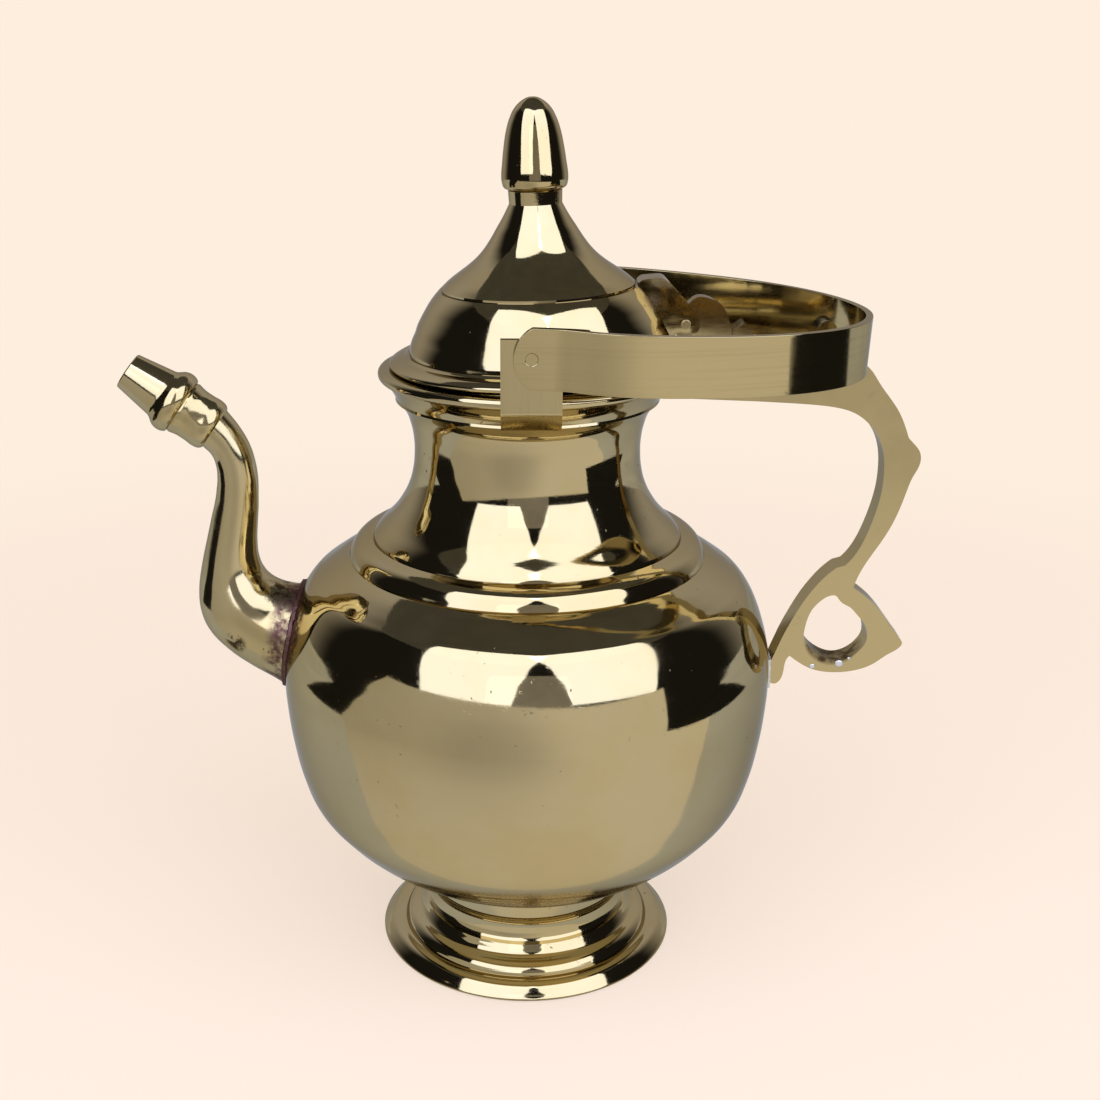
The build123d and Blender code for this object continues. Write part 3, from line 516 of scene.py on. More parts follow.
def polished_brass(name, finish, centre=MIDDLE, scorch=None, hazy=False, soft=1.0, stains=()):
    """Turned and buffed brass: fine turning lines, faint smudges, small brown specks and pits."""
    nodes = Nodes(name)
    base = nodes.blend(nodes.shown(LACQUER, centre), finish.brass, finish.warm_brass)
    specks = nodes.times(nodes.shown(SPECKS, centre), nodes.shown(SPECK_PATCHES, centre))
    base = nodes.blend(nodes.times(specks, SPECK_SHARE), base, finish.tarnish)
    polish = [finish.mirror * soft * part for part in SMUDGED_POLISH]
    roughness = nodes.shown(SMUDGES, centre, out=polish)
    if hazy:
        low = nodes.range(nodes.along("Z"), HAZE_HEIGHTS, FULL[::-1])
        handled = nodes.times(low, nodes.shown(HAZE, centre, out=HAZE_SHARE))
        roughness = nodes.mix_value(handled, roughness, finish.haze)
    roughness = nodes.mix_value(specks, roughness, SPECK_ROUGHNESS)
    if scorch is not None:
        torch = nodes.spot(scorch, SCORCH)
        base = nodes.blend(torch, base, finish.burnt)
        roughness = nodes.mix_value(torch, roughness, SCORCH_ROUGHNESS)
    for mark in stains:
        stain = nodes.spot(mark, STAIN)
        base = nodes.blend(stain, base, finish.dark_brown)
        roughness = nodes.mix_value(stain, roughness, STAIN_ROUGHNESS)
    normal = nodes.bump(nodes.noise(TURNING_LINES, centre, TURNING_STRETCH), TURNING_RELIEF)
    scratches = nodes.shown(SCRATCHES, centre, SCRATCH_STRETCH, SCRATCH_TURN)
    normal = nodes.bump(specks, SPECK_RELIEF, nodes.bump(scratches, SCRATCH_RELIEF, normal))
    return nodes.metal(base, roughness, normal, finish.rim_tint)


def satin_brass(name, finish, grain=PLAIN_GRAIN, centre=MIDDLE, scorch=None, bright=0.0, cast=False, gloss=1.0,
                darkened_loop=None, rough_cast=1.0, shaded=False, streaks=0.0):
    """Filed and brushed brass: a grain along the piece, darker hollows and worn, brighter places."""
    nodes = Nodes(name)
    base = nodes.blend(nodes.shown(FILED, centre), finish.cast_brass, finish.warm_brass)
    base = nodes.blend(bright, base, finish.brass)
    hollows = nodes.times(nodes.shown(HOLLOWS, centre), CAST_HOLLOWS if cast else STRIP_HOLLOWS)
    base = nodes.blend(hollows, base, finish.dull_brass_and_shade)
    # Painted shade: the handle turns darker towards its top, in clouds, towards the dull brass
    if shaded:
        upper = nodes.range(nodes.along("Z"), SHADE_HEIGHTS, (0.0, SHADE_MOST))
        cloud = nodes.shown(SHADE, centre, out=SHADE_SHARE)
        base = nodes.blend(nodes.times(upper, cloud), base, finish.dull_brass_and_shade)
    # Darker on the inner wall of the handle's loop, in a ragged ring
    if darkened_loop is not None:
        base = nodes.blend(nodes.spot(darkened_loop, LOOP_DARK_CLOUD, LOOP_DARK_SHARE), base, finish.dark_brown)
    brushed = nodes.noise(BRUSHED, centre, grain)
    polish = [finish.satin * gloss * part for part in BRUSHED_POLISH]
    roughness = nodes.range(brushed, (BRUSHED.low, BRUSHED.high), polish)
    if scorch is not None:
        torch = nodes.spot(scorch, CAST_SCORCH)
        base = nodes.blend(torch, base, finish.burnt)
        roughness = nodes.mix_value(torch, roughness, CAST_SCORCH_ROUGHNESS)
    if streaks:
        base = nodes.blend(nodes.range(brushed, WORN, (0.0, streaks)), base, finish.dull_brass_and_shade)
    normal = nodes.bump(brushed, Relief(BRUSHED_RELIEF.strength + streaks, BRUSHED_RELIEF.depth))
    if cast:
        normal = nodes.bump(nodes.shown(PITS, centre), PIT_RELIEF, normal)
        swells = nodes.noise(SWELLS, centre, finer=rough_cast)
        relief = Relief(min(SWELL_RELIEF.strength * rough_cast, 1.0), SWELL_RELIEF.depth * rough_cast)
        normal = nodes.bump(swells, relief, normal)
    return nodes.metal(base, roughness, normal, finish.rim_tint)


def solder_metal(name, finish, burnt_share):
    """Rough solder, silver or burnt by the torch."""
    nodes = Nodes(name)
    mottle = nodes.noise(MOTTLE)
    scorched = [plain - drop * burnt_share for plain, drop in (SCORCH_START, SCORCH_FULL)]
    base = nodes.blend(nodes.range(mottle, scorched), finish.solder, finish.burnt)
    roughness = nodes.range(mottle, (MOTTLE.low, MOTTLE.high), SOLDER_ROUGHNESS)
    return nodes.metal(base, roughness, nodes.bump(nodes.noise(LUMPS), LUMP_RELIEF), finish.rim_tint)


class PieceOperator:
    """What every operator of a piece shares: its sizes and finish."""
    bl_options = {"REGISTER", "UNDO"}

    def execute(self, context):
        self.build(context.scene.kamandal_sizes, context.scene.kamandal_finish)
        return {"FINISHED"}


def belly_points(s):
    """The belly's outside from the middle of its floor to the seam."""
    rise = s.belly_widest_height - s.belly_floor_height
    lower = [(s.belly_radius * a, s.belly_floor_height + rise * b) for a, b in BELLY_LOWER]
    upper = [
        (between(s.seam_radius, s.belly_radius, a), between(s.belly_widest_height, s.seam_height, b))
        for a, b in BELLY_UPPER
    ]
    return lower + upper


class KAMANDAL_OT_foot(PieceOperator, bpy.types.Operator):
    """Spin the hollow foot with its two turned grooves"""
    bl_idname = "kamandal.foot"
    bl_label = "Foot"

    def build(self, s, finish):
        groove = (s.skirt_groove_radius, s.skirt_groove_height, GROOVE)
        stem = (s.stem_groove_radius, s.stem_groove_height, GROOVE)
        land_out = s.foot_radius - s.foot_edge_round
        land_in = land_out - s.foot_land
        edge = (s.foot_radius, s.foot_edge_round)
        skirt = [(between(groove[0], edge[0], a), between(edge[1], groove[1], b)) for a, b in SKIRT]
        cove = [(between(stem[0], groove[0], a), between(groove[1], stem[1], b)) for a, b in FOOT_COVE]
        waist = [(s.stem_radius * a, between(stem[1], s.stem_top_height, b)) for a, b in STEM_WAIST]
        stem_inside = s.stem_radius - s.sheet_wall
        inner = inset(skirt + [groove] + cove + [stem] + waist, s.sheet_wall)[1:]
        outline = [
            (land_in, 0.0, CORNER), (land_out, 0.0, CORNER), edge, *skirt, groove,
            *cove, stem, *waist, (s.stem_radius, s.stem_top_height, CORNER),
            (stem_inside, s.stem_top_height, CORNER), *inner[::-1],
        ]
        mesh = turned(outline, s, finish)
        look = polished_brass("polished_foot", finish)
        finish_mesh(mesh, "turned_foot", "pot", look, replaces=("foot_ring",))


class KAMANDAL_OT_belly(PieceOperator, bpy.types.Operator):
    """Spin the belly, with the short stem under it"""
    bl_idname = "kamandal.belly"
    bl_label = "Belly"

    def build(self, s, finish):
        outer = belly_points(s)
        inner = inset(outer, s.sheet_wall)[1:]
        groove_floor = s.seam_radius - s.groove
        outline = outer + [
            (s.seam_radius + s.groove / 2, s.seam_height - s.groove / 2, CORNER),
            (groove_floor, s.seam_height, CORNER), (s.seam_radius - s.seam_land, s.seam_height, CORNER),
        ] + inner[::-1] + [(0.0, s.belly_floor_height + s.sheet_wall)]
        mesh = turned(outline, s, finish, closed=False)
        rise = s.belly_widest_height - s.belly_floor_height
        stem_inside = s.stem_radius - s.sheet_wall
        ends = [s.belly_floor_height + rise * part + s.sheet_wall / 2 for part in STEM_END]
        stem = [
            (stem_inside, s.stem_top_height, CORNER), (s.stem_radius, s.stem_top_height, CORNER),
            (s.stem_radius, ends[1], CORNER), (stem_inside, ends[0], CORNER),
        ]
        turned(stem, s, finish, mesh=mesh)
        look = polished_brass("polished_belly", finish, scorch=BELLY_SCORCH, hazy=True)
        finish_mesh(mesh, "spun_belly", "pot", look, replaces=("belly_bowl",))


class KAMANDAL_OT_neck(PieceOperator, bpy.types.Operator):
    """Spin the shoulder, the waist, the flare and the rolled lip"""
    bl_idname = "kamandal.neck"
    bl_label = "Neck"

    def build(self, s, finish):
        groove = (s.shoulder_groove_radius, s.shoulder_groove_height, GROOVE)
        lower = [
            (between(s.neck_radius, groove[0], a), between(groove[1], s.neck_height, b)) for a, b in NECK_LOWER
        ]
        band = [
            (between(groove[0], s.seam_radius, a), between(s.seam_height, groove[1], b)) for a, b in BAND
        ]
        ring = (s.flare_ring_radius, s.flare_ring_height, RIDGE)
        upper = [(between(s.neck_radius, ring[0], a), between(s.neck_height, ring[1], b)) for a, b in NECK_UPPER]
        out, up = FLARE_END
        flare_end = (between(ring[0], s.lip_root_radius, out), between(ring[1], s.lip_root_height, up))
        centre_height = s.rim_height - s.lip_roundness
        roll = [
            (s.lip_radius + s.lip_roundness * a, centre_height + s.lip_roundness * b) for a, b in LIP_ROLL
        ]
        smooth = lower + upper + [ring]
        inner = inset([groove] + smooth + [flare_end], s.sheet_wall)[:-1]
        outline = [
            (s.seam_radius - s.seam_land, s.seam_height, CORNER), (s.seam_radius - s.groove, s.seam_height, CORNER),
            (s.seam_radius - s.groove / 2, s.seam_height + s.groove / 2, CORNER), *band, groove, *smooth, flare_end,
            (s.lip_root_radius, s.lip_root_height, CORNER), *roll,
            (s.mouth_radius + s.mouth_round, s.rim_height, CORNER),
            (s.mouth_radius, s.rim_height - s.mouth_round, CORNER),
            (s.mouth_radius, s.rim_height - s.mouth_depth + s.mouth_round), *inner[::-1],
        ]
        mesh = turned(outline, s, finish)
        look = polished_brass("polished_neck", finish)
        finish_mesh(mesh, "spun_neck", "pot", look, replaces=("neck_collar",))


def facing(axis, x, z):
    """A frame in the plane of spout and handle, whose Z runs along an axis."""
    side = Vector((0.0, 1.0, 0.0))
    return Matrix.Translation((x, 0.0, z)) @ Matrix((side, axis.cross(side), axis)).transposed().to_4x4()


def nozzle_place(s):
    """The nozzle's own frame: its tip at the origin, its axis running back along Z."""
    back = Vector((math.cos(s.nozzle_slope), 0.0, -math.sin(s.nozzle_slope)))
    return facing(back, -s.spout_tip_reach, s.spout_tip_height)


SPOUT_SIDES = 72
SPOUT_STEPS = 4
# How many times rougher the spout and its nozzle are than the spun pieces
SPOUT_SOFTNESS = 2.2


class KAMANDAL_OT_spout(PieceOperator, bpy.types.Operator):
    """Bridge the rings of the cast spout, and spin its nozzle"""
    bl_idname = "kamandal.spout"
    bl_label = "Spout and nozzle"

    def rings(self, s):
        """Centre, radius and tilt of each ring, from the nozzle down to the belly."""
        foot = nozzle_place(s) @ Vector((0.0, 0.0, s.nozzle_length))
        reach = -foot.x - s.belly_radius
        path = [Vector((foot.x, foot.z, s.spout_neck_radius))]
        tilts = [Vector((1.0 - s.nozzle_slope / (math.pi / 2), 0.0, 0.0))]
        for out, up, swell, tilt in SPOUT:
            height = between(s.belly_widest_height, foot.z, up)
            path.append(Vector((-s.belly_radius - reach * out, height, s.spout_swell * swell)))
            tilts.append(Vector((tilt, 0.0, 0.0)))
        smooth = [False] * len(path)
        return zip(smooth_line(path, smooth, SPOUT_STEPS), smooth_line(tilts, smooth, SPOUT_STEPS))

    def skin(self, mesh, rings, thinner):
        """Bridge the rings, made thinner all round, and return the first and last."""
        loops = []
        for ring, tilt in rings:
            turn = math.pi / 2 * tilt.x
            place = facing(Vector((math.sin(turn), 0.0, -math.cos(turn))), ring.x, ring.y)
            made = bmesh.ops.create_circle(mesh, cap_ends=False, segments=SPOUT_SIDES, radius=ring.z - thinner,
                                           matrix=place)
            loops.append(made["verts"])
        for first, second in zip(loops, loops[1:]):
            self.bridge(mesh, first, second)
        return loops[0], loops[-1]

    def bridge(self, mesh, first, second):
        """Join two rings of vertices with a band of faces."""
        ends = set(first) | set(second)
        around = {e for v in ends for e in v.link_edges if ends.issuperset(e.verts) and len(e.link_faces) < 2}
        bmesh.ops.bridge_loops(mesh, edges=list(around))

    def build(self, s, finish):
        mesh = bmesh.new()
        rings = list(self.rings(s))
        outer_top, outer_end = self.skin(mesh, rings, 0.0)
        inner_top, inner_end = self.skin(mesh, rings, s.spout_wall)
        # The end that stands inside the belly's wall is drawn back on to it
        wall = belly_points(s)
        for vert in mesh.verts:
            radius = self.wall_radius(wall, vert.co.z) - s.sheet_wall / 2
            half = vert.co.y
            if vert.co.z < s.seam_height and math.hypot(vert.co.x, half) < radius:
                vert.co.x = -math.sqrt(max(radius * radius - half * half, 0.0))
        self.bridge(mesh, outer_top, inner_top)
        self.bridge(mesh, outer_end, inner_end)
        look = polished_brass("polished_spout", finish, SPOUT_MIDDLE, SPOUT_SCORCH, soft=SPOUT_SOFTNESS,
                              stains=SPOUT_STAINS)
        finish_mesh(mesh, "cast_spout", "pot", look, replaces=("spout_tube",))

        bore = s.spout_neck_radius - s.spout_wall
        bead = [(s.nozzle_bead_radius * out, s.nozzle_length * along) for along, out in NOZZLE]
        bead[0] = (*bead[0], CORNER)
        bead[NOZZLE_GROOVE] = (*bead[NOZZLE_GROOVE], GROOVE)
        outline = [
            (bore + s.nozzle_edge, 0.0, CORNER), (s.nozzle_tip_radius - s.nozzle_edge, 0.0, CORNER),
            (s.nozzle_tip_radius, s.nozzle_edge, CORNER), *bead,
            (s.nozzle_foot_radius, s.nozzle_length, CORNER), (bore, s.nozzle_length, CORNER),
            (bore, s.nozzle_edge, CORNER),
        ]
        mesh = turned(outline, s, finish)
        look = polished_brass("polished_nozzle", finish, NOZZLE_MIDDLE, soft=SPOUT_SOFTNESS)
        finish_mesh(mesh, "turned_nozzle", "pot", look, place=nozzle_place(s),
                    replaces=("spout_nozzle",))

    def wall_radius(self, wall, height):
        """Outside radius of the belly at a height, by straight runs between its points."""
        for (r0, z0), (r1, z1) in zip(wall, wall[1:]):
            if z0 <= height <= z1:
                return between(r0, r1, (height - z0) / (z1 - z0))
        return 0.0


# A copy of a CAD node: vertices nearer than this become one, and faces flatter than this become one
NODE_MERGE = 1e-6
NODE_FLAT = math.radians(0.6)
# Edges of a CAD node sharper than this many degrees are rounded, and in so many steps
NODE_SHARP, NODE_STEPS = 35.0, 3


def softened(node, radius, sharpest=NODE_SHARP, steps=NODE_STEPS):
    """A merged copy of a CAD node whose sharp edges are rounded, as filing leaves them."""
    mesh = bmesh.new()
    mesh.from_mesh(NODES[node].data)
    bmesh.ops.remove_doubles(mesh, verts=mesh.verts, dist=NODE_MERGE)
    bmesh.ops.dissolve_limit(mesh, angle_limit=NODE_FLAT, verts=mesh.verts, edges=mesh.edges)
    limit = math.radians(sharpest)
    sharp = [e for e in mesh.edges if len(e.link_faces) == 2 and e.calc_face_angle(0.0) > limit]
    bmesh.ops.bevel(mesh, geom=sharp, offset=radius, offset_type="OFFSET", segments=steps, profile=0.5,
                    affect="EDGES", material=-1, clamp_overlap=True)
    return mesh


def filed(node, name, body, look, radius):
    """A CAD node's softened copy, in the node's place."""
    finish_mesh(softened(node, radius), name, body, look, replaces=(node,), weighted=True)


class KAMANDAL_OT_handle(PieceOperator, bpy.types.Operator):
    """Round the edges of the scrolled handle"""
    bl_idname = "kamandal.handle"
    bl_label = "Handle"

    def build(self, s, finish):
        look = satin_brass("brushed_handle", finish, HANDLE_GRAIN, HANDLE_MIDDLE, cast=True, gloss=0.55,
                           bright=0.3, darkened_loop=LOOP_DARKENING, shaded=True)
        filed("handle_casting", "scrolled_handle", "pot", look, s.soft_edge)


# Drips of silver solder on the handle's near face: x, z and radius, their flattening, and the face
SOLDER_DRIPS = ((0.0938, 0.0910, 0.0013), (0.0858, 0.0901, 0.0009), (0.0967, 0.0927, 0.0005))
DRIP_SHAPE = Matrix.Diagonal((1.0, 0.28, 0.85, 1.0))
DRIP_FACE = -0.004
# Beads of solder: what counts as a sharp edge, its steps, lumps to a metre, and how far they are smoothed
BEAD_SHARP, BEAD_STEPS = 30.0, 2
BEAD_LUMPS = 700.0
BEAD_SMOOTHING = 0.4


class KAMANDAL_OT_solder(PieceOperator, bpy.types.Operator):
    """Lumpy beads of solder at the spout's root and the handle's foot, with the drips beside it"""
    bl_idname = "kamandal.solder"
    bl_label = "Solder"

    def lumpy(self, node, name, look, lump, seed):
        mesh = softened(node, lump, BEAD_SHARP, BEAD_STEPS)
        long_edges = [e for e in mesh.edges if e.calc_length() > lump * 4]
        bmesh.ops.subdivide_edges(mesh, edges=long_edges, cuts=2, use_grid_fill=True)
        bmesh.ops.triangulate(mesh, faces=mesh.faces)
        for vert in mesh.verts:
            offset = noise.noise(vert.co * BEAD_LUMPS + Vector((seed, seed, seed)))
            vert.co += vert.normal * offset * lump
        bmesh.ops.smooth_vert(mesh, verts=mesh.verts, factor=BEAD_SMOOTHING,
                              use_axis_x=True, use_axis_y=True, use_axis_z=True)
        finish_mesh(mesh, name, "pot", look, sharp=SOLDER_ANGLE, replaces=(node,))

    def build(self, s, finish):
        burnt = solder_metal("burnt_solder", finish, burnt_share=1.5)
        silver = solder_metal("silver_solder", finish, burnt_share=0.1)
        self.lumpy("spout_solder", "spout_bead", burnt, lump=0.00025, seed=3.0)
        self.lumpy("handle_solder", "handle_bead", silver, lump=0.0003, seed=8.0)
        mesh = bmesh.new()
        for x, z, radius in SOLDER_DRIPS:
            place = Matrix.Translation((x, DRIP_FACE, z)) @ DRIP_SHAPE
            bmesh.ops.create_icosphere(mesh, subdivisions=3, radius=radius, matrix=place)
        finish_mesh(mesh, "solder_drips", "pot", silver, sharp=SOLDER_ANGLE)


def lid_place(s):
    """Where the lid sits: on the rim at the spout's side, a little high at its hinge."""
    lift = s.flange_radius * math.sin(s.lid_lean)
    return Matrix.Translation((s.lid_shift, 0.0, s.rim_height + lift)) @ Matrix.Rotation(-s.lid_lean, 4, "Y")


class KAMANDAL_OT_lid(PieceOperator, bpy.types.Operator):
    """Spin the domed lid and its acorn finial, and finish the ring and nut inside"""
    bl_idname = "kamandal.lid"
    bl_label = "Lid and finial"

    def build(self, s, finish):
        dome = [(s.dome_foot_radius * a, s.spire_height * b) for a, b in DOME]
        top = (s.spire_top_radius, s.spire_height)
        inner = inset([(s.dome_foot_radius, s.dome_foot_height)] + dome + [top], s.lid_wall)
        inner[-1] = (s.spire_top_radius - s.lid_wall, s.spire_height - s.lid_wall, CORNER)
        inner[0] = (*inner[0], CORNER)
        dome[DOME_GROOVE] = (*dome[DOME_GROOVE], GROOVE)
        ledge = s.dome_foot_radius + s.lid_wall
        half = s.flange_edge / 2
        outline = [
            (s.flange_radius - half, 0.0), (s.flange_radius, half), (s.flange_radius - half, s.flange_edge),
            (ledge, s.dome_foot_height - s.groove, CORNER), (ledge - s.groove, s.dome_foot_height, CORNER),
            (s.dome_foot_radius, s.dome_foot_height, CORNER), *dome, (*top, CORNER),
            (s.stud_radius, s.spire_height, CORNER), (s.stud_radius, s.spire_height - s.lid_wall, CORNER),
            *inner[::-1], (s.dome_foot_radius - s.lid_wall, 0.0, CORNER),
        ]
        mesh = turned(outline, s, finish)
        look = polished_brass("polished_lid", finish, LID_MIDDLE, LID_SCORCH)
        place = lid_place(s)
        finish_mesh(mesh, "spun_lid", "lid", look, place=place, replaces=("lid_shell",))

        neck_out, neck_up = FINIAL_NECK
        acorn = [(s.finial_radius * a, s.spire_height + s.finial_height * b) for a, b in ACORN]
        tip = s.spire_height + s.finial_height
        outline = [
            (0.0, s.spire_height - s.stud_length, CORNER), (s.stud_radius, s.spire_height - s.stud_length, CORNER),
            (s.stud_radius, s.spire_height, CORNER), (s.spire_top_radius, s.spire_height, CORNER),
            (s.spire_top_radius * neck_out, s.spire_height + s.finial_neck_height * neck_up, CORNER),
            (*acorn[0], CORNER), *acorn[1:], (s.finial_radius * ACORN_TIP / 2, tip), (0.0, tip),
        ]
        mesh = turned(outline, s, finish, closed=False)
        look = polished_brass("polished_finial", finish, FINIAL_MIDDLE)
        finish_mesh(mesh, "turned_finial", "lid", look, place=place, replaces=("finial",))

        inside = polished_brass("ring_brass", finish, MOUTH_MIDDLE)
        nut = satin_brass("nut_brass", finish, centre=NUT_MIDDLE)
        for node, material in (("lid_collar", inside), ("finial_nut", nut)):
            NODES[node].data.materials.clear()
            NODES[node].data.materials.append(material)


class KAMANDAL_OT_hinge(PieceOperator, bpy.types.Operator):
    """The forked lug soldered to the lid, and the pin through it"""
    bl_idname = "kamandal.hinge"
    bl_label = "Lid hinge"

    def build(self, s, finish):
        lug = satin_brass("filed_lug", finish, centre=LUG_MIDDLE, scorch=LUG_SCORCH, bright=0.5, cast=True,
                          gloss=0.4, rough_cast=1.5)
        filed("lid_hinge_lug", "forked_lug", "lid", lug, s.soft_edge)
        pin = satin_brass("pin_brass", finish, centre=PIN_MIDDLE, bright=0.4)
        filed("hinge_pin", "hinge_rod", "lid", pin, s.strip_edge)


class KAMANDAL_OT_bail(PieceOperator, bpy.types.Operator):
    """Soften the bail, its ears and their rivets"""
    bl_idname = "kamandal.bail"
    bl_label = "Bail, ears and rivets"

    def build(self, s, finish):
        strip = satin_brass("rolled_strip", finish, STRIP_GRAIN, BAIL_MIDDLE, bright=0.35, streaks=0.13,
                            gloss=0.33)
        filed("bail_strip", "strap_bail", "bail", strip, s.strip_edge)
        for side in ("near", "far"):
            ear = satin_brass("ear_brass_" + side, finish, EAR_GRAIN, MOUTH_MIDDLE, bright=0.6, streaks=0.1,
                              gloss=0.5)
            filed("ear_" + side, "strap_ear_" + side, "pot", ear, s.strip_edge)
            rivet = satin_brass("rivet_brass_" + side, finish, centre=RIVET_MIDDLE)
            filed("rivet_" + side, "flush_rivet_" + side, "pot", rivet, s.strip_edge / 2)


# The eye of the photograph: its place in metres, and how far it looks down and leans
EYE = (0.0, -0.4238, 0.2736)
PITCH_DOWN = math.radians(19.27)
ROLL = math.radians(0.18)
# In pixels of the photograph: its width, the focal length, and where the pot's axis stands
PHOTO_WIDTH = 1100.0
FOCAL_PIXELS = 1519.0
AXIS_PIXEL = 527.1
SENSOR_MM = 36.0
NEAREST_SEEN = 0.01
# Corners of the two soft panels, from the middle of the pot, in metres
POT_MIDDLE = Vector((0.0, -0.04, 0.12))
LEFT_PANEL = ((-0.845, -0.82, 0.167), (-0.113, -1.23, 0.226), (0.127, -0.51, 1.157), (-0.64, -0.077, 1.10))
RIGHT_PANEL = ((0.338, -1.235, 0.234), (1.105, -0.663, 0.13), (0.71, 0.05, 1.025), (0.115, -0.46, 1.047))
PANEL_COLOUR = (0.71, 0.77, 1.0)
FLOOR_REACH, FLOOR_SIDES, FLOOR_DROP = 4.0, 96, 0.0002
# The backdrop's own light: its share in the room and near the pot, and from where to where that share grows
OWN_LIGHT = 0.62
OWN_LIGHT_REACH = (0.12, 0.75)
# The white sheet on the table: left and right edges, and its back and front edges
TABLE = (-0.39, 0.402, -0.055, -0.235)
# Its front, swept up round the pot: radius, start and sweep in degrees, height and lean
FRONT_BOARD = (0.36, 95.0, 143.0, 0.161, 2.9)
# The sheet between them: its left and right edges, as shares of the table's
FRONT_FLOOR = (0.8, 0.83)
# The board's left end slopes down to the table: where the slope starts along Y, and its steepness
BOARD_SLOPE = (-0.038, 1.35)
# The sheet is dimmer to the left: share of its light at its edge, and along X, where it is full
SIDE_SHARE, SIDE_FULL = 0.62, 0.1
BACK_FLOOR = 0.15
# Soft shadow that the sheet holds: its middle, its radius, and the share of the light left there
CARD_SHADOW = (-0.07, -0.33, 0.02)
CARD_SHADOW_RADIUS = 0.27
CARD_SHADOW_SHARE = 0.72
# Along Y, where the wall turns from dark to grey
WALL_FADE = (0.35, 1.35)
# The wall that shows between the panels
GAP_LOW, GAP_HIGH = (-0.5, -1.5, 0.0), (0.55, -1.5, 1.2)
CARD_LIFT = 0.0006
ROUND_STEPS = 48
ROOM_RADIUS = 1.7
ROOM_HEIGHT = 2.0
WHITE_CARD = (1.0, 0.965, 0.93)
GREY_CARD = (1.0, 0.97, 1.03)
COOL_CARD = (0.95, 1.0, 1.12)
# A plain card isn't quite even
CARD_CLOUD, CARD_EVENNESS = Pattern(2.6, 2.0, 0.55, 0.3, 0.7), (0.9, 1.06)


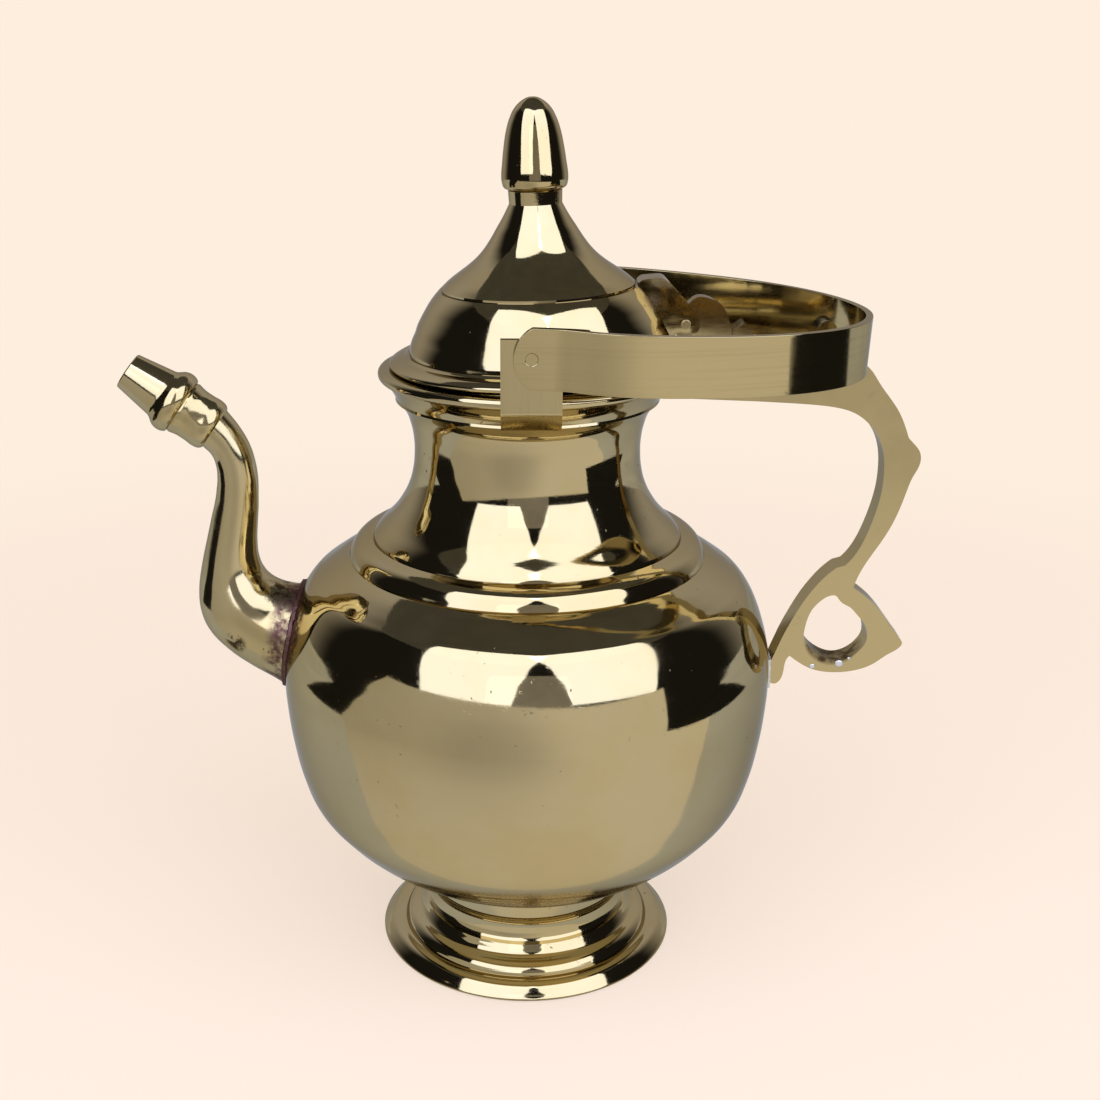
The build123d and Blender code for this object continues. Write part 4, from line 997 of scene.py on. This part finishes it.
class KAMANDAL_OT_stage(PieceOperator, bpy.types.Operator):
    """Pale floor, two soft panels, the cards that the metal reflects and the camera"""
    bl_idname = "kamandal.stage"
    bl_label = "Stage"

    def panel(self, name, corners, radiance):
        """A soft light that fills the four corners and faces the pot."""
        low_left, low_right, top_right, top_left = [POT_MIDDLE + Vector(c) for c in corners]
        across = (low_right - low_left + top_right - top_left) / 2
        up = (top_left - low_left + top_right - low_right) / 2
        centre = (low_left + low_right + top_right + top_left) / 4
        back = across.cross(up).normalized()
        if back.dot(POT_MIDDLE - centre) > 0:
            back = -back
        light = bpy.data.lights.new(name, "AREA")
        light.shape = "RECTANGLE"
        light.size, light.size_y = across.length, up.length
        light.energy = radiance * math.pi * across.length * up.length
        light.color = PANEL_COLOUR
        side = across.normalized()
        square = back.cross(side).normalized()
        lamp = bpy.data.objects.new(name, light)
        lamp.matrix_world = (
            Matrix.Translation(centre) @ Matrix((square.cross(back), square, back)).transposed().to_4x4())
        lamp.visible_camera = False
        bpy.context.scene.collection.objects.link(lamp)

    def card(self, name, mesh, radiance, tint=EVEN, fade=None, shadow=False):
        """A studio card that only polished metal sees, dimmer towards one side where it fades."""
        nodes = Nodes(name)
        if fade is None:
            shade = nodes.shown(CARD_CLOUD, out=[radiance * part for part in CARD_EVENNESS])
        else:
            axis, start, end, dim = fade
            shade = nodes.range(nodes.along(axis), (start, end), (dim, radiance))
        if shadow:
            inside = nodes.near(CARD_SHADOW, 0.0, CARD_SHADOW_RADIUS)
            shade = nodes.times(shade, nodes.range(inside, FULL, (1.0, CARD_SHADOW_SHARE)))
        glow = nodes.add("ShaderNodeEmission")
        nodes.feed(glow.inputs["Color"], tint)
        nodes.feed(glow.inputs["Strength"], shade)
        card = placed(name, mesh, nodes.show(glow.outputs["Emission"]))
        card.visible_camera = card.visible_diffuse = card.visible_shadow = card.visible_transmission = False

    def flat_card(self, name, low, high, radiance, tint=EVEN, fade=None, shadow=False):
        """A card between two opposite corners, level or standing across the view."""
        mesh = bmesh.new()
        low, high = Vector(low), Vector(high)
        size = high - low
        standing = size.z > size.y
        turn = Matrix.Rotation(math.pi / 2, 4, "X") if standing else Matrix.Identity(4)
        spread = Matrix.Diagonal((size.x, size.z if standing else size.y, 1.0, 1.0))
        bmesh.ops.create_grid(mesh, x_segments=1, y_segments=1, size=0.5,
                              matrix=Matrix.Translation((low + high) / 2) @ turn @ spread)
        self.card(name, mesh, radiance, tint, fade, shadow)

    def round_card(self, name, radius, start, sweep, top, radiance, tint, fade, lean=0.0, shadow=False, slope=None):
        """A wall round the pot, from a turn about Z and over a sweep, in degrees, leaning to one side."""
        mesh = bmesh.new()
        ends = [mesh.verts.new((0.0, radius, height)) for height in (-top, top)]
        edge = mesh.edges.new(ends)
        first, tilt = Matrix.Rotation(math.radians(start), 3, "Z"), Matrix.Rotation(math.radians(lean), 3, "Y")
        bmesh.ops.rotate(mesh, verts=ends, cent=(0, 0, 0), matrix=first)
        bmesh.ops.spin(mesh, geom=ends + [edge], cent=(0, 0, 0), axis=(0, 0, 1), dvec=(0, 0, 0),
                       angle=math.radians(sweep), steps=ROUND_STEPS)
        bmesh.ops.rotate(mesh, verts=mesh.verts, cent=(0, 0, 0), matrix=tilt)
        cuts = [((0, 0, 0), (0, 0, 1), True, False)]
        if slope is not None:
            cuts.append(((0, slope[0], 0), (0, slope[1], 1), False, True))
        for place, square, below, above in cuts:
            bmesh.ops.bisect_plane(mesh, geom=mesh.verts[:] + mesh.edges[:] + mesh.faces[:], plane_co=place,
                                   plane_no=square, clear_inner=below, clear_outer=above)
        self.card(name, mesh, radiance, tint, fade, shadow)

    def plainly_seen(self, tree):
        """One for the camera, gloss and glass, which all see the backdrop's own colour, and nothing for the rest."""
        path = tree.nodes.new("ShaderNodeLightPath")
        seen = path.outputs["Is Camera Ray"]
        for output in ("Is Glossy Ray", "Is Transmission Ray"):
            more = tree.nodes.new("ShaderNodeMath")
            more.operation = "MAXIMUM"
            tree.links.new(seen, more.inputs[0])
            tree.links.new(path.outputs[output], more.inputs[1])
            seen = more.outputs["Value"]
        return seen

    def mixed(self, tree, amount, first, second):
        """A mix of two closures."""
        mix = tree.nodes.new("ShaderNodeMixShader")
        for socket, output in zip(mix.inputs, (amount, first, second)):
            tree.links.new(output, socket)
        return mix.outputs[0]

    def room(self, scene, finish):
        """Light all round in the backdrop's colour, dimmer than it looks."""
        world = bpy.data.worlds.new("pale_room")
        scene.world = world
        world.use_nodes = True
        tree = world.node_tree
        tree.nodes.clear()
        lights = []
        for strength in (OWN_LIGHT, 1.0):
            light = tree.nodes.new("ShaderNodeBackground")
            light.inputs["Color"].default_value = (*finish.backdrop, 1.0)
            light.inputs["Strength"].default_value = strength
            lights.append(light.outputs[0])
        out = tree.nodes.new("ShaderNodeOutputWorld")
        tree.links.new(self.mixed(tree, self.plainly_seen(tree), *lights), out.inputs["Surface"])

    def floor(self, finish):
        """A floor of the backdrop's own colour, which takes the pot's shadow near it."""
        mesh = bmesh.new()
        bmesh.ops.create_circle(mesh, cap_ends=True, segments=FLOOR_SIDES, radius=FLOOR_REACH,
                                matrix=Matrix.Translation((0.0, 0.0, -FLOOR_DROP)))
        nodes = Nodes("pale_floor")
        glow, lit = nodes.add("ShaderNodeEmission"), nodes.add("ShaderNodeBsdfDiffuse")
        for closure in (glow, lit):
            nodes.feed(closure.inputs["Color"], finish.backdrop)
        near = nodes.range(nodes.near(MIDDLE, *OWN_LIGHT_REACH), FULL, (1.0, OWN_LIGHT))
        part = self.mixed(nodes.tree, near, lit.outputs[0], glow.outputs[0])
        plain = self.mixed(nodes.tree, self.plainly_seen(nodes.tree), lit.outputs[0], part)
        floor = placed("floor", mesh, nodes.show(plain))

    def reflections(self, finish):
        """What the metal sees: a white card in front, dark beside and over it, dim above and grey behind."""
        left, right, near, far = TABLE
        wide, top = ROOM_RADIUS, ROOM_HEIGHT
        white = (finish.front_card, WHITE_CARD, ("X", left, SIDE_FULL, finish.front_card * SIDE_SHARE))
        radius, start, sweep, height, lean = FRONT_BOARD
        self.flat_card("front_sheet", (left, far, CARD_LIFT), (right, near, CARD_LIFT), *white, True)
        self.flat_card("front_floor", (left * FRONT_FLOOR[0], -radius, CARD_LIFT),
                       (right * FRONT_FLOOR[1], far, CARD_LIFT), *white, True)
        self.round_card("front_board", radius, start, sweep, height, *white, lean, True, BOARD_SLOPE)
        self.flat_card("grey_table", (left, near, CARD_LIFT), (right, BACK_FLOOR, CARD_LIFT),
                       finish.table_card, COOL_CARD)
        self.flat_card("grey_floor", (-wide, BACK_FLOOR, CARD_LIFT), (wide, wide, CARD_LIFT),
                       finish.table_card, COOL_CARD)
        self.flat_card("dark_floor", (-wide, -wide, CARD_LIFT / 2), (wide, BACK_FLOOR, CARD_LIFT / 2),
                       finish.dark_card)
        self.round_card("room_wall", wide, 0.0, 360.0, top, finish.back_card, GREY_CARD,
                        ("Y", *WALL_FADE, finish.dark_card))
        self.flat_card("grey_gap", GAP_LOW, GAP_HIGH, finish.gap_card, GREY_CARD)
        mesh = bmesh.new()
        bmesh.ops.create_circle(mesh, cap_ends=True, segments=ROUND_STEPS, radius=wide,
                                matrix=Matrix.Translation((0.0, 0.0, top)))
        self.card("dim_ceiling", mesh, finish.ceiling_card)

    def camera(self, scene):
        """The eye of the photograph, worked out from the circles of the pot."""
        camera = bpy.data.cameras.new("photo_camera")
        camera.sensor_width = SENSOR_MM
        camera.lens = FOCAL_PIXELS / PHOTO_WIDTH * SENSOR_MM
        camera.shift_x = (PHOTO_WIDTH / 2 - AXIS_PIXEL) / PHOTO_WIDTH
        camera.clip_start = NEAREST_SEEN
        viewer = bpy.data.objects.new("photo_camera", camera)
        tilt, roll = Matrix.Rotation(math.pi / 2 - PITCH_DOWN, 4, "X"), Matrix.Rotation(ROLL, 4, "Z")
        viewer.matrix_world = Matrix.Translation(EYE) @ tilt @ roll
        scene.collection.objects.link(viewer)
        scene.camera = viewer

    def build(self, s, finish):
        scene = bpy.context.scene
        scene.view_settings.view_transform = "Standard"
        self.room(scene, finish)
        self.floor(finish)
        self.panel("left_panel", LEFT_PANEL, finish.panel_light)
        self.panel("right_panel", RIGHT_PANEL, finish.panel_light)
        self.reflections(finish)
        self.camera(scene)


class KAMANDAL_PT_pieces(bpy.types.Panel):
    """Lists the pieces of the pot in the order in which they are made"""
    bl_idname = "KAMANDAL_PT_pieces"
    bl_label = "Kamandal"
    bl_space_type = "VIEW_3D"
    bl_region_type = "UI"
    bl_category = "Kamandal"

    def draw(self, context):
        column = self.layout.column(align=True)
        for operator in OPERATORS:
            column.operator(operator.bl_idname, text=operator.bl_label)
        for title, group in (("Sizes", context.scene.kamandal_sizes), ("Finish", context.scene.kamandal_finish)):
            box = self.layout.box()
            box.label(text=title)
            for key in type(group).__annotations__:
                box.prop(group, key)


OPERATORS = (
    KAMANDAL_OT_foot, KAMANDAL_OT_belly, KAMANDAL_OT_neck, KAMANDAL_OT_spout, KAMANDAL_OT_handle,
    KAMANDAL_OT_solder, KAMANDAL_OT_lid, KAMANDAL_OT_hinge, KAMANDAL_OT_bail, KAMANDAL_OT_stage,
)
CLASSES = (KamandalSizes, KamandalFinish, *OPERATORS, KAMANDAL_PT_pieces)


def register():
    for each in CLASSES:
        bpy.utils.register_class(each)
    bpy.types.Scene.kamandal_sizes = PointerProperty(type=KamandalSizes)
    bpy.types.Scene.kamandal_finish = PointerProperty(type=KamandalFinish)


def unregister():
    del bpy.types.Scene.kamandal_finish
    del bpy.types.Scene.kamandal_sizes
    for each in reversed(CLASSES):
        bpy.utils.unregister_class(each)


def main():
    """Make every piece in order."""
    register()
    bpy.ops.kamandal.foot()
    bpy.ops.kamandal.belly()
    bpy.ops.kamandal.neck()
    bpy.ops.kamandal.spout()
    bpy.ops.kamandal.handle()
    bpy.ops.kamandal.solder()
    bpy.ops.kamandal.lid()
    bpy.ops.kamandal.hinge()
    bpy.ops.kamandal.bail()
    bpy.ops.kamandal.stage()


if __name__ == "__main__":
    main()
